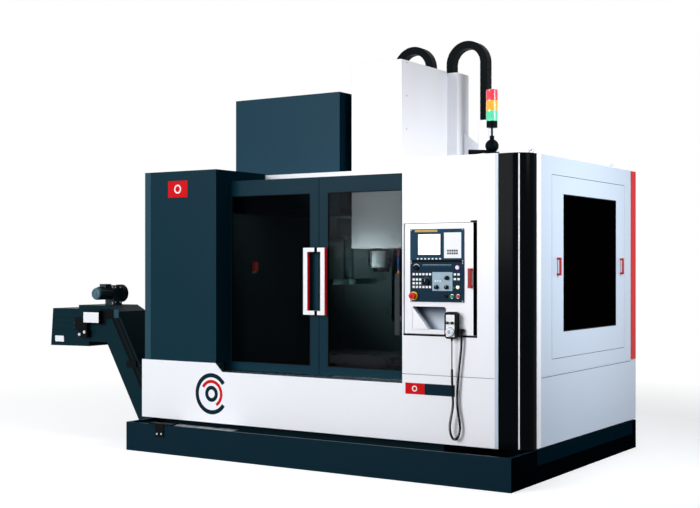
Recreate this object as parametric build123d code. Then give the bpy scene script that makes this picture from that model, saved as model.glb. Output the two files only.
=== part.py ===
# Vertical CNC machining center with its enclosure, tool magazine and chip conveyor.
# Millimetres. +X is right and +Y is to the rear as seen from the front, +Z is up.
# The origin is on the floor, halfway between the coolant tray's front and rear walls.
import math
import os

from build123d import *

# coolant tray on the floor
TRAY_LEFT = -1564.0
TRAY_RIGHT = 1510.0
TRAY_DEPTH = 2140.0
TRAY_HEIGHT = 205.0
TRAY_WALL = 5.0
TRAY_RIM = 22.0

# enclosure
FRONT_Y = -827.0
REAR_Y = 1068.0
LEFT_X = -1635.0
RIGHT_X = 1509.0
PANEL_LIFT = 8.0
PANEL_TOP = 2035.0
SHEET = 3.0
FLANGE = 30.0
SHELL_GAP = 2.0

# door opening and doors
OPENING_LEFT = -923.0
OPENING_RIGHT = 623.0
DOOR_FACE_Y = -665.0
DOOR_THICK = 36.0
DOOR_MEET_X = -140.0
DOOR_GAP = 4.0
DOOR_TRAVEL = 600.0
DOOR_BOTTOM = 585.0
DOOR_TOP = 1956.0
DOOR_STILE = 72.0
DOOR_TOP_RAIL = 111.0
DOOR_BOTTOM_RAIL = 60.0
GLASS_THICK = 8.0
GLASS_SEAT = 12.0
HANDLE_LENGTH = 463.0
DOOR_WIDTH = 840.0
DOOR_OVERRUN = 70.0
LEFT_HANDLE_REACH = 94.0
RIGHT_HANDLE_REACH = 62.0
RIGHT_HANDLE_INSET = 19.0
HANDLE_BAR = 35.0
HANDLE_ARM = 28.0
HANDLE_DEPTH = 31.0
HANDLE_STANDOFF = 24.0
HANDLE_MID_Z = 1234.0

# front panels
CABINET_LEFT = -1605.0
CABINET_SILL_Z = 643.0
LOW_PANEL_TOP = 582.0
NOTCH_RUN = 57.0
SILL_TOP = 580.0
COLUMN_LEFT = 1308.0
COLUMN_ROUND = 115.0
COLUMN_REAR_Y = -704.0
LINER_FRONT = DOOR_FACE_Y + 65.0
LINER_LEFT = -1150.0
LINER_BACK = 745.0
LINER_BACK_TOP = 1550.0
LINER_LEFT_TOP = 1738.0
LINER_OPENING_Z = 900.0
DOOR_SHOE_GAP = 0.3
HEADER_BOTTOM = 1880.0
HEADER_TOP = 1950.0
SILL_THICK = 24.0
TOP_FLANGE = 123.0
ROOF_TOP = 2025.0
ROOF_FRONT = -245.0
ROOF_BEAM = 40.0

# side panel, hatch and window
HATCH_FRONT = -472.0
HATCH_REAR = 830.0
HATCH_BOTTOM = 750.0
HATCH_TOP = 1921.0
WINDOW_FRONT = -286.0
WINDOW_REAR = 661.0
WINDOW_BOTTOM = 917.0
WINDOW_TOP = 1804.0
HATCH_GRIP_LENGTH = 115.0
HATCH_GRIP_Z = 1337.0
HATCH_GRIP_FRONT = -383.0
HATCH_GRIP_REAR = 749.0

# heights of the head, column and magazine, which hang on the cover's top
COVER_TOP = 2871.0
DUCT_TOP = COVER_TOP - 13.0
DUCT_BOTTOM = DUCT_TOP - 858.0
CHAIN_APEX = DUCT_TOP + 240.0
TOP_DUCT_TOP = DUCT_TOP - 200.0
COLUMN_TOP = TOP_DUCT_TOP - 328.0
COLUMN_FOOT_TOP = COLUMN_TOP - 1030.0
HEAD_BOTTOM = COLUMN_TOP - 850.0
HEAD_TOP = HEAD_BOTTOM + 420.0
COVER_BOTTOM = HEAD_BOTTOM - 8.0
CARTRIDGE_BOTTOM = HEAD_BOTTOM - 150.0
NOSE_Z = CARTRIDGE_BOTTOM - 37.0
SPINDLE_MOTOR_TOP = HEAD_TOP + 450.0
ARM_TOP = NOSE_Z - 53.0
MAG_BOTTOM = ARM_TOP + 500.0
MAG_TOP = MAG_BOTTOM + 920.0
DISC_Z = MAG_BOTTOM + 450.0
MAG_STAY_LOW = MAG_BOTTOM - 30.0
MAG_STAY_HIGH = MAG_BOTTOM + 210.0

# bed, column and axes
SPINDLE_X = -165.0
SPINDLE_Y = 219.0
BED_HALF = 480.0
BED_FRONT = -360.0
BED_REAR = TRAY_DEPTH / 2 + 260.0
BED_BOTTOM = 90.0
BED_TOP = 420.0
BED_CHANNEL = 80.0
BED_CHANNEL_DEPTH = 170.0
BED_LIP = 20.0
BED_WALL = 60.0
BED_SIDE_WALL = 40.0
BED_CORE = 110.0
FOOT_RADIUS = 60.0
FOOT_PLATE = 30.0
FOOT_SCREW = 20.0
COLUMN_FRONT = 780.0
COLUMN_HALF = 200.0
COLUMN_STEP = 65.0
COLUMN_FOOT_HALF = 360.0
COLUMN_WALL = 30.0
RAIL_WIDTH = 45.0
RAIL_HEIGHT = 40.0
RAIL_FIT = 0.4
Y_RAIL_SPREAD = 280.0
X_RAIL_SPREAD = 130.0
Z_RAIL_SPREAD = 140.0
SADDLE_LIFT = 28.0
SADDLE_HALF_X = 500.0
SADDLE_HALF_Y = 260.0
SADDLE_THICK = 92.0
TABLE_HALF_X = 500.0
TABLE_HALF_Y = 250.0
TABLE_TOP = 680.0
TABLE_THICK = 70.0
SLOT_WIDTH = 18.0
SLOT_DEPTH = 24.0
SLOT_PITCH = 100.0
SLOT_COUNT = 5
SLOT_FOOT_WIDTH = 32.0
SLOT_FOOT_DEPTH = 12.0
SCREW_RADIUS = 20.0
SCREW_FIT = 0.05
BEARING_LENGTH = 50.0
FEED_MOTOR = 65.0
FEED_MOTOR_LENGTH = 230.0
Z_TRAVEL = 500.0
HEAD_STANDOFF = 12.0
Z_SLOT_HALF = 60.0
Z_SLOT_DEPTH = 82.0
SADDLE_TOP = BED_TOP + SADDLE_LIFT + SADDLE_THICK
SADDLE_WAY = X_RAIL_SPREAD + RAIL_WIDTH
SADDLE_ARM = 74.0
TABLE_UNDER = TABLE_TOP - TABLE_THICK
TABLE_WAY_HALF = 300.0
X_SCREW_Z = SADDLE_TOP - 45.0
Y_SCREW_Z = BED_TOP - 40.0
Y_SCREW_FRONT = BED_FRONT + 70.0
Z_SCREW_Y = COLUMN_FRONT - 42.0
Z_SCREW_FOOT = HEAD_BOTTOM - Z_TRAVEL - 20.0
Z_SCREW_TOP = COLUMN_TOP - 60.0

# spindle head, its cover and the cable chains
HEAD_HALF = 170.0
HEAD_FRONT = 150.0
HEAD_WALL = 30.0
HEAD_PAD = 60.0
CARTRIDGE_RADIUS = 80.0
NOSE_RADIUS = 62.0
SHAFT_RADIUS = 45.0
TAPER_RADIUS = 22.0
TAPER_DEPTH = 68.0
SPINDLE_MOTOR = 115.0
COVER_HALF = 219.5
COVER_FRONT = 131.0
COVER_REAR = 838.0
COVER_ROOM = 16.0
DUCT_RIGHT = 143.0
DUCT_LEFT = 40.0
DUCT_REAR = 1037.0
CHAIN_THICK = 60.0
CHAIN_WIDTH = 80.0
CHAIN_PITCH_RADIUS = 147.5
CHAIN_FRONT = 841.5
CHAIN_PITCH = 55.0
CHAIN_GROOVE = 3.0
CHAIN_FIT = 0.5
CHAIN_INSERT = 300.0
CHAIN_OVERLAP = 50.0
ROOF_CHAIN_X = 78.0
HEAD_CHAIN_X = -405.0
ROOF_DUCT_TOP = ROOF_TOP + 445.0
GUSSET_REACH = 173.0
GUSSET_FLAT = 60.0
GUSSET_LOW = 2300.0
GUSSET_HIGH = 2390.0

# tool magazine and change arm
MAG_LEFT = -1446.0
MAG_RIGHT = -450.0
MAG_FRONT = 63.0
MAG_REAR = 560.0
MAG_PLATE = 25.0
MAG_STAY_REACH = 180.0
DISC_RADIUS = 395.0
DISC_THICK = 30.0
DISC_FRONT = 330.0
POT_COUNT = 24
POT_CIRCLE = 350.0
POT_RADIUS = 38.0
POT_LENGTH = 125.0
POT_BORE = 24.0
AXLE_RADIUS = 40.0
ARM_RADIUS = 300.0
ARM_THICK = 42.0
ARM_HALF = 34.0
ARM_SHAFT = 35.0
ARM_GRIP = 36.0

# operator box, its controls and the hand pendant
BOX_LEFT = 636.0
BOX_RIGHT = 1137.0
BOX_BOTTOM = 907.0
BOX_TOP = 1612.0
BOX_DEPTH = 120.0
BOX_GAP = 3.0
BOX_SWING_GAP = 26.0
UNIT_LEFT = 687.0
UNIT_RIGHT = 1073.0
UNIT_TOP = 1576.0
UNIT_SPLIT = 1365.0
UNIT_BOTTOM = 1112.0
UNIT_PROUD = 8.0
UNIT_DEPTH = 60.0
UNIT_RIM = 10.0
LCD_LEFT = 743.0
LCD_RIGHT = 907.0
LCD_BOTTOM = 1412.0
LCD_TOP = 1543.0
LCD_RECESS = 3.0
KEY_FIELD_LEFT = 941.0
KEY_FIELD_BOTTOM = 1397.0
KEY_COLUMNS = 7
KEY_ROWS = 9
KEY_PITCH_X = 16.0
KEY_PITCH_Z = 17.0
KEY_SIZE = 12.0
KEY_PROUD = 2.5
SOFT_KEYS = 7
SOFT_KEY_Z = 1394.0
SOFT_KEY_PITCH = 27.0
ESTOP_X = 715.0
ESTOP_Z = 1149.0
ESTOP_RADIUS = 20.0
ESTOP_COLLAR = 28.0
KNOB_RADIUS = 13.0
KNOB_LENGTH = 16.0
RIDGE_WIDTH = 5.0
RIDGE_HEIGHT = 4.0
SPINDLE_KNOB_X = 957.0
SPINDLE_KNOB_Z = 1265.0
FEED_KNOB_X = 882.0
FEED_KNOB_Z = 1206.0
BUTTON_Z = 1149.5
START_X = 992.0
STOP_X = 1034.0
RESET_X = 948.0
BLOCK_KEY_LEFT = 706.0
BLOCK_KEY_PITCH = 24.0
BLOCK_KEY_WIDTH = 15.0
BLOCK_KEY_HALF = 7.0
BLOCK_KEY_ROWS = ((1288.0, 6), (1254.0, 3), (1230.0, 3), (1206.0, 6))
AXIS_KEYS_X = (1012.0, 1038.0)
AXIS_KEYS_Z = (1288.0, 1258.0)
DIAL_PLATE = 1.5
DIAL_FIELD_LEFT = 850.0
DIAL_FIELD_RIGHT = 994.0
DIAL_FIELD_BOTTOM = 1183.0
DIAL_FIELD_TOP = 1302.0
KEY_LOCK = (733.0, 1330.0)
MODE_DIAL = (806.0, 1240.0)
RAPID_DIAL_X = 955.0
LIGHT_BUTTON = (1034.0, 1207.0)
POWER_LIGHT = (1029.0, 1331.0)
BUTTON_RADIUS = 11.0
BUTTON_PROUD = 9.0
BUTTON_FIT = 0.4
BUTTON_TRAVEL = 3.0
ESTOP_HEIGHT = 34.0
ESTOP_TRAVEL = 10.0
STEM_RADIUS = 5.0
STEM_FIT = 0.06
STEM_DEPTH = 14.0
SHELF_LEFT = 701.0
SHELF_RIGHT = 944.0
SHELF_BOTTOM = 936.0
SHELF_TOP = 1081.0
SHELF_DEPTH = 90.0
GRIP_Z = 1264.0
GRIP_LENGTH = 124.0
GRIP_X = 1112.0
PENDANT_X = 1003.0
PENDANT_TOP = 1053.0
PENDANT_BOTTOM = 884.0
PENDANT_WIDTH = 84.0
PENDANT_DEPTH = 42.0
PENDANT_STAND = 12.0
WHEEL_Z = 928.0
WHEEL_RADIUS = 27.0
WHEEL_THICK = 14.0
PENDANT_PLATE = 1.5
PENDANT_DIAL_Z = 985.0
PENDANT_DIAL_STEP = 17.0
PENDANT_ROUND = 24.0
CORD_RADIUS = 3.5
COIL_RADIUS = 8.5
CORD_Y = FRONT_Y - PENDANT_STAND - 0.5 * PENDANT_DEPTH
GLAND_X = 1066.0
GLAND_Z = 930.0
GLAND_LENGTH = 34.0
GLAND_RADIUS = 11.0

# electrical cabinet, coolant pump and rear panel
ELEC_LEFT = 330.0
ELEC_RIGHT = 1280.0
ELEC_BOTTOM = 320.0
ELEC_TOP = 1950.0
ELEC_DEPTH = 300.0
ELEC_DOOR = 25.0
ELEC_TAB = 9.5
ELEC_ROWS = 4
ELEC_ROW_PITCH = 340.0
ELEC_DEVICES = 5
ELEC_DEVICE_PITCH = 155.0
HINGE_PIN = 20.0
PUMP_X = -1150.0
PUMP_Y = 940.0
PUMP_RADIUS = 70.0
PUMP_HEIGHT = 300.0
PUMP_FOOT = 10.0

# signal lamp
LAMP_X = 1242.0
LAMP_Y = -780.0
LAMP_RADIUS = 36.0
LENS_HEIGHT = 64.0
LENS_BASE_Z = 2241.0
LAMP_BASE_HEIGHT = 40.0
LAMP_POLE_RADIUS = 6.0
BALL_RADIUS = 42.0
BALL_Z = 2087.0
ARM_START_X = 1085.0

# chip conveyor
CONV_FRONT = -700.0
CONV_WIDTH = 320.0
CONV_SHEET = 4.0
CONV_FLOOR = 14.0
CONV_DEEP = 217.0
CONV_ANGLE = 60.0
CONV_KNEE_X = -1700.0
CONV_END_X = 860.0
CONV_BODY_Z = 743.0
CONV_TOP = 1030.0
CONV_NOSE_X = CONV_KNEE_X - 1039.0
CONV_NOSE_STEP_X = CONV_KNEE_X - 613.0
CONV_NOSE_BOTTOM = 700.0
CONV_NOSE_TOP = 999.0
CONV_RAISED_X = CONV_KNEE_X - 725.0
CONV_RAISED_END = CONV_KNEE_X - 398.0
CONV_SHAFT_X = CONV_KNEE_X - 780.0
CONV_SHAFT_Z = CONV_BODY_Z + 127.0
CONV_SHAFT_RADIUS = 22.0
SPROCKET_RADIUS = 62.0
BELT_THICK = 12.0
BELT_BEND = 190.0
CONV_OPEN_X = -1140.0
CONV_BOX_LEFT = CONV_KNEE_X - 730.0
CONV_BOX_RIGHT = CONV_KNEE_X - 600.0
CONV_BOX_LOW = 832.0
CONV_BOX_HIGH = 932.0
CONV_BOX_DEPTH = 40.0
GEAR_MOTOR_X = CONV_KNEE_X - 527.0
GEAR_MOTOR_Z = CONV_TOP + 90.0
GEAR_MOTOR_RADIUS = 48.0
GEAR_DISC_RADIUS = 70.0

PANEL_BOTTOM = TRAY_HEIGHT + PANEL_LIFT
PART = {}


def block(x0, x1, y0, y1, z0, z1):
    """Box between two opposite corners."""
    size = Box(x1 - x0, y1 - y0, z1 - z0)
    return Pos((x0 + x1) / 2, (y0 + y1) / 2, (z0 + z1) / 2) * size


def rod_z(x, y, z0, z1, radius):
    """Upright cylinder between two heights."""
    return Pos(x, y, (z0 + z1) / 2) * Cylinder(radius, z1 - z0)


def rod_y(x, z, y0, y1, radius):
    """Cylinder along Y."""
    return Pos(x, (y0 + y1) / 2, z) * Rot(90, 0, 0) * Cylinder(radius, y1 - y0)


def rod_x(y, z, x0, x1, radius):
    """Cylinder along X."""
    return Pos((x0 + x1) / 2, y, z) * Rot(0, 90, 0) * Cylinder(radius, x1 - x0)


def prism_y(points, y0, y1):
    """Profile given as (x, z) points, extruded from y0 to y1."""
    face = make_face(Polyline(*[(x, y0, z) for x, z in points], close=True))
    return extrude(face, amount=y1 - y0, dir=(0, 1, 0))


def prism_x(points, x0, x1):
    """Profile given as (y, z) points, extruded from x0 to x1."""
    face = make_face(Polyline(*[(x0, y, z) for y, z in points], close=True))
    return extrude(face, amount=x1 - x0, dir=(1, 0, 0))


def prism_z(points, z0, z1):
    """Profile given as (x, y) points, extruded from z0 to z1."""
    face = make_face(Polyline(*[(x, y, z0) for x, y in points], close=True))
    return extrude(face, amount=z1 - z0, dir=(0, 0, 1))


def keep(name, shape):
    """Stores a finished piece under its node name."""
    PART[name] = shape


def coolant_tray():
    """Open pan that carries the bed and collects coolant, with a notch for the conveyor."""
    x0, x1, y = TRAY_LEFT, TRAY_RIGHT, TRAY_DEPTH / 2
    tray = block(x0, x1, -y, y, 0, TRAY_HEIGHT)
    tray -= block(x0 + TRAY_WALL, x1 - TRAY_WALL, -y + TRAY_WALL, y - TRAY_WALL, TRAY_WALL, TRAY_HEIGHT)
    rim = block(x0, x1, -y, y, TRAY_HEIGHT - TRAY_WALL, TRAY_HEIGHT)
    rim -= block(x0 + TRAY_RIM, x1 - TRAY_RIM, -y + TRAY_RIM, y - TRAY_RIM, 0, TRAY_HEIGHT)
    tray += rim
    tray -= block(
        x0 - 1, x0 + TRAY_RIM + 1, CONV_FRONT - BOX_GAP, CONV_FRONT + CONV_WIDTH + BOX_GAP,
        CONV_FLOOR - BOX_GAP, TRAY_HEIGHT + 1,
    )
    bed_side = BED_HALF + BOX_GAP
    tray -= block(
        SPINDLE_X - bed_side, SPINDLE_X + bed_side, y - TRAY_RIM - 1, y + 1,
        BED_BOTTOM - BOX_GAP, TRAY_HEIGHT + 1,
    )
    keep("coolant_tray", tray)


def machine_bed():
    """Cast base with a channel for the cross feed screw and its motor."""
    bed = block(
        SPINDLE_X - BED_HALF, SPINDLE_X + BED_HALF, BED_FRONT, BED_REAR, BED_BOTTOM, BED_TOP
    )
    for side in (-1, 1):
        pocket_in = SPINDLE_X + side * (BED_CHANNEL + BED_CORE)
        pocket_out = SPINDLE_X + side * (BED_HALF - BED_SIDE_WALL)
        bed -= block(
            min(pocket_in, pocket_out), max(pocket_in, pocket_out),
            BED_FRONT + BED_WALL, BED_REAR - BED_WALL, BED_BOTTOM - 1, BED_TOP - BED_WALL,
        )
    bed -= block(
        SPINDLE_X - BED_CHANNEL, SPINDLE_X + BED_CHANNEL, BED_FRONT + BED_LIP, BED_REAR - BED_WALL,
        BED_TOP - BED_CHANNEL_DEPTH, BED_TOP + 1,
    )
    keep("machine_bed", bed)


def leveling_feet():
    """Round pads with screws under the bed; the rear pair stands on the floor outside the tray."""
    solids = []
    reach = BED_HALF - BED_SIDE_WALL / 2 - FOOT_SCREW
    for x in (SPINDLE_X - reach, SPINDLE_X + reach):
        for y in (BED_FRONT + FOOT_RADIUS, (BED_FRONT + TRAY_DEPTH / 2) / 2, BED_REAR - BED_WALL / 2):
            floor = TRAY_WALL if y < TRAY_DEPTH / 2 else 0
            pad = rod_z(x, y, floor, floor + FOOT_PLATE, FOOT_RADIUS)
            screw = rod_z(x, y, floor + FOOT_PLATE, BED_BOTTOM, FOOT_SCREW)
            solids.append(pad + screw)
    keep("leveling_feet", Compound(solids))


def machine_column():
    """Cast upright: a wide foot behind a narrow front that carries the head's guideways."""
    front = COLUMN_FRONT
    step = COLUMN_FRONT + COLUMN_STEP
    column = block(
        SPINDLE_X - COLUMN_HALF, SPINDLE_X + COLUMN_HALF, front, BED_REAR, BED_TOP, COLUMN_TOP
    )
    foot = prism_y(
        [
            (SPINDLE_X - COLUMN_FOOT_HALF, BED_TOP),
            (SPINDLE_X + COLUMN_FOOT_HALF, BED_TOP),
            (SPINDLE_X + COLUMN_HALF, COLUMN_FOOT_TOP),
            (SPINDLE_X - COLUMN_HALF, COLUMN_FOOT_TOP),
        ],
        step,
        BED_REAR,
    )
    column += foot
    column -= block(
        SPINDLE_X - COLUMN_HALF + COLUMN_WALL, SPINDLE_X + COLUMN_HALF - COLUMN_WALL,
        step + COLUMN_WALL, BED_REAR - COLUMN_WALL, BED_TOP - 1, COLUMN_TOP - COLUMN_WALL,
    )
    keep("column", column)


def guide_rails():
    """Linear rails fixed to the bed and to the column."""
    half = RAIL_WIDTH / 2
    rails = []
    for side in (-1, 1):
        x = SPINDLE_X + side * Y_RAIL_SPREAD
        rails.append(
            block(
                x - half, x + half, BED_FRONT + BED_LIP, COLUMN_FRONT - HEAD_STANDOFF,
                BED_TOP, BED_TOP + RAIL_HEIGHT,
            )
        )
        x = SPINDLE_X + side * Z_RAIL_SPREAD
        rails.append(
            block(
                x - half, x + half, COLUMN_FRONT - RAIL_HEIGHT, COLUMN_FRONT,
                Z_SCREW_FOOT - SCREW_RADIUS, HEAD_TOP + HEAD_PAD,
            )
        )
    keep("guide_rails", Compound(rails))


def feed_screws():
    """Ball screws of the three axes, each with journals in its bearings."""
    keep("y_screw", rod_y(SPINDLE_X, Y_SCREW_Z, Y_SCREW_FRONT, COLUMN_FRONT - 10, SCREW_RADIUS))
    keep("z_screw", rod_z(SPINDLE_X, Z_SCREW_Y, Z_SCREW_FOOT, Z_SCREW_TOP, SCREW_RADIUS))
    reach = SADDLE_HALF_X - SCREW_RADIUS
    keep("x_screw", rod_x(SPINDLE_Y, X_SCREW_Z, SPINDLE_X - reach, SPINDLE_X + reach, SCREW_RADIUS))


def feed_motors():
    """Servo motors of the cross and vertical feeds, with the bearing blocks of their screws."""
    m = FEED_MOTOR
    bore = SCREW_RADIUS + SCREW_FIT
    channel_left, channel_right = SPINDLE_X - BED_CHANNEL, SPINDLE_X + BED_CHANNEL
    channel_floor = BED_TOP - BED_CHANNEL_DEPTH
    bearing_y = Y_SCREW_FRONT + SCREW_RADIUS / 2
    front_bearing = block(
        channel_left, channel_right, bearing_y, bearing_y + BEARING_LENGTH, channel_floor, BED_TOP
    )
    front_bearing -= rod_y(SPINDLE_X, Y_SCREW_Z, bearing_y - 1, bearing_y + BEARING_LENGTH + 1, bore)
    motor_y = COLUMN_FRONT - 60
    y_motor = block(
        SPINDLE_X - m, SPINDLE_X + m, motor_y, motor_y + FEED_MOTOR_LENGTH - 20,
        channel_floor, BED_TOP - SHELL_GAP,
    )
    y_motor -= rod_y(SPINDLE_X, Y_SCREW_Z, motor_y - 1, COLUMN_FRONT - 9, bore)
    low_z = Z_SCREW_FOOT - 2 * SCREW_RADIUS
    low_bearing = block(
        SPINDLE_X - Z_SLOT_HALF, SPINDLE_X + Z_SLOT_HALF, Z_SCREW_Y - 35, COLUMN_FRONT,
        low_z, low_z + BEARING_LENGTH,
    )
    low_bearing -= rod_z(SPINDLE_X, Z_SCREW_Y, Z_SCREW_FOOT - 1, Z_SCREW_FOOT + BEARING_LENGTH, bore)
    flange_z = Z_SCREW_TOP - BEARING_LENGTH
    body_z = Z_SCREW_TOP + 10
    z_motor = block(SPINDLE_X - m, SPINDLE_X + m, Z_SCREW_Y - m, COLUMN_FRONT, flange_z, body_z)
    z_motor -= rod_z(SPINDLE_X, Z_SCREW_Y, flange_z - 1, Z_SCREW_TOP + 1, bore)
    z_motor += block(
        SPINDLE_X - m, SPINDLE_X + m, Z_SCREW_Y - m, COLUMN_FRONT - 1, body_z, body_z + FEED_MOTOR_LENGTH
    )
    keep("feed_motors", Compound([front_bearing, y_motor, low_bearing, z_motor]))


def saddle():
    """Cross slide on the bed's rails, with the table's rails and feed motor on it."""
    z0, z1 = BED_TOP + SADDLE_LIFT, SADDLE_TOP
    bore = SCREW_RADIUS + SCREW_FIT
    lower = Y_RAIL_SPREAD + 60
    left, right = SPINDLE_X - SADDLE_HALF_X, SPINDLE_X + SADDLE_HALF_X
    body = block(
        SPINDLE_X - lower, SPINDLE_X + lower, SPINDLE_Y - SADDLE_HALF_Y, SPINDLE_Y + SADDLE_HALF_Y, z0, z1
    )
    body += block(left, right, SPINDLE_Y - SADDLE_WAY, SPINDLE_Y + SADDLE_WAY, z1 - SADDLE_ARM, z1)
    body -= block(
        left + BEARING_LENGTH, right - BEARING_LENGTH, SPINDLE_Y - 45, SPINDLE_Y + 45,
        z1 - SADDLE_ARM + SHELL_GAP, z1 + 1,
    )
    screw_end = SCREW_RADIUS - 1
    body -= rod_x(SPINDLE_Y, X_SCREW_Z, left + screw_end, right - screw_end, bore)
    nut = BEARING_LENGTH
    body += block(
        SPINDLE_X - nut, SPINDLE_X + nut, SPINDLE_Y - nut, SPINDLE_Y + nut, Y_SCREW_Z - 36, z0
    )
    body -= rod_y(SPINDLE_X, Y_SCREW_Z, SPINDLE_Y - nut - 10, SPINDLE_Y + nut + 10, bore)
    groove = RAIL_WIDTH / 2 + RAIL_FIT
    for side in (-1, 1):
        x = SPINDLE_X + side * Y_RAIL_SPREAD
        body -= block(
            x - groove, x + groove, SPINDLE_Y - SADDLE_HALF_Y - 1, SPINDLE_Y + SADDLE_HALF_Y + 1,
            z0 - 1, BED_TOP + RAIL_HEIGHT + RAIL_FIT,
        )
    pieces = [body]
    for side in (-1, 1):
        y = SPINDLE_Y + side * X_RAIL_SPREAD
        pieces.append(block(left, right, y - RAIL_WIDTH / 2, y + RAIL_WIDTH / 2, z1, z1 + RAIL_HEIGHT))
    pieces.append(
        block(right, right + 2 * FEED_MOTOR, SPINDLE_Y - 60, SPINDLE_Y + 60, z1 - SADDLE_ARM, z1 + 18)
    )
    keep("saddle", Compound(pieces))


def work_table():
    """Table with T-slots, its carriages and the nut of the long feed."""
    left, right = SPINDLE_X - TABLE_HALF_X, SPINDLE_X + TABLE_HALF_X
    table = block(left, right, SPINDLE_Y - TABLE_HALF_Y, SPINDLE_Y + TABLE_HALF_Y, TABLE_UNDER, TABLE_TOP)
    way_left, way_right = SPINDLE_X - TABLE_WAY_HALF, SPINDLE_X + TABLE_WAY_HALF
    table += block(
        way_left, way_right, SPINDLE_Y - SADDLE_WAY, SPINDLE_Y + SADDLE_WAY,
        SADDLE_TOP + SADDLE_LIFT, TABLE_UNDER,
    )
    table += block(
        SPINDLE_X - 40, SPINDLE_X + 40, SPINDLE_Y - 34, SPINDLE_Y + 34, SADDLE_TOP - 70, TABLE_UNDER
    )
    table -= rod_x(SPINDLE_Y, X_SCREW_Z, SPINDLE_X - 60, SPINDLE_X + 60, SCREW_RADIUS + SCREW_FIT)
    groove = RAIL_WIDTH / 2 + RAIL_FIT
    for side in (-1, 1):
        y = SPINDLE_Y + side * X_RAIL_SPREAD
        table -= block(
            way_left - 1, way_right + 1, y - groove, y + groove,
            SADDLE_TOP, SADDLE_TOP + RAIL_HEIGHT + RAIL_FIT,
        )
    neck_z = TABLE_TOP - SLOT_DEPTH
    for i in range(SLOT_COUNT):
        y = SPINDLE_Y + (i - (SLOT_COUNT - 1) / 2) * SLOT_PITCH
        table -= block(left - 1, right + 1, y - SLOT_WIDTH / 2, y + SLOT_WIDTH / 2, neck_z, TABLE_TOP + 1)
        table -= block(
            left - 1, right + 1, y - SLOT_FOOT_WIDTH / 2, y + SLOT_FOOT_WIDTH / 2,
            neck_z - SLOT_FOOT_DEPTH, neck_z,
        )
    keep("table", table)


def spindle_head():
    """Hollow head casting with its nut, the spindle cartridge and the motor on top."""
    rear = COLUMN_FRONT - HEAD_STANDOFF
    slot_y = COLUMN_FRONT - Z_SLOT_DEPTH
    left, right = SPINDLE_X - HEAD_HALF, SPINDLE_X + HEAD_HALF
    head = block(left, right, HEAD_FRONT, rear, HEAD_BOTTOM, HEAD_TOP)
    groove = RAIL_WIDTH / 2 + RAIL_FIT
    for side in (-1, 1):
        x = SPINDLE_X + side * Z_RAIL_SPREAD
        head -= block(
            x - groove, x + groove, COLUMN_FRONT - RAIL_HEIGHT - RAIL_FIT, rear + 1,
            HEAD_BOTTOM - 1, HEAD_TOP + 1,
        )
    slot_left, slot_right = SPINDLE_X - Z_SLOT_HALF, SPINDLE_X + Z_SLOT_HALF
    head -= block(slot_left, slot_right, slot_y, rear + 1, HEAD_BOTTOM - 1, HEAD_TOP + 1)
    nut_z = HEAD_BOTTOM + 150
    head += block(slot_left, slot_right, slot_y, rear, nut_z, nut_z + 2 * BEARING_LENGTH)
    head -= rod_z(SPINDLE_X, Z_SCREW_Y, HEAD_BOTTOM, HEAD_TOP, SCREW_RADIUS + SCREW_FIT)
    m = SPINDLE_MOTOR
    motor_y = SPINDLE_Y - m * 0.58
    motor = block(SPINDLE_X - m, SPINDLE_X + m, motor_y, motor_y + 2 * m, HEAD_TOP, SPINDLE_MOTOR_TOP)
    head -= block(
        left + HEAD_WALL, right - HEAD_WALL, motor_y + 2 * m + HEAD_WALL, slot_y - HEAD_WALL,
        HEAD_BOTTOM + HEAD_WALL, HEAD_TOP + 1,
    )
    head += rod_z(SPINDLE_X, SPINDLE_Y, CARTRIDGE_BOTTOM, HEAD_BOTTOM, CARTRIDGE_RADIUS)
    head -= rod_z(SPINDLE_X, SPINDLE_Y, CARTRIDGE_BOTTOM - 1, HEAD_TOP - 10, SHAFT_RADIUS + STEM_FIT)
    pad = COVER_HALF - SHEET
    pad_rear = motor_y + 2 * m + HEAD_WALL / 4
    for z in (HEAD_BOTTOM + HEAD_PAD - 20, HEAD_TOP - HEAD_PAD - HEAD_WALL):
        head += block(
            SPINDLE_X - pad, left, pad_rear - HEAD_PAD, pad_rear, z, z + HEAD_PAD
        )
        head += block(
            right, SPINDLE_X + pad, pad_rear - HEAD_PAD, pad_rear, z, z + HEAD_PAD
        )
    keep("spindle_head", Compound([head, motor]))
    nose_top = CARTRIDGE_BOTTOM - BUTTON_FIT
    shaft = rod_z(SPINDLE_X, SPINDLE_Y, nose_top, HEAD_TOP - 20, SHAFT_RADIUS)
    shaft += rod_z(SPINDLE_X, SPINDLE_Y, NOSE_Z, nose_top, NOSE_RADIUS)
    taper = Cone(TAPER_RADIUS, TAPER_RADIUS / 2, TAPER_DEPTH)
    shaft -= Pos(SPINDLE_X, SPINDLE_Y, NOSE_Z + TAPER_DEPTH / 2) * taper
    keep("spindle_shaft", shaft)


def chain_duct_shell(x, half, y0, y1, z0, z1):
    """Open rectangular tube of sheet around a chain leg."""
    tube = block(x - half, x + half, y0, y1, z0, z1)
    tube -= block(x - half + SHEET, x + half - SHEET, y0 + SHEET, y1 - SHEET, z0 - 1, z1 + 1)
    return tube


def duct_half():
    """Half width of a sheet duct around a chain leg."""
    return CHAIN_THICK / 2 + CHAIN_FIT + SHEET


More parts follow.
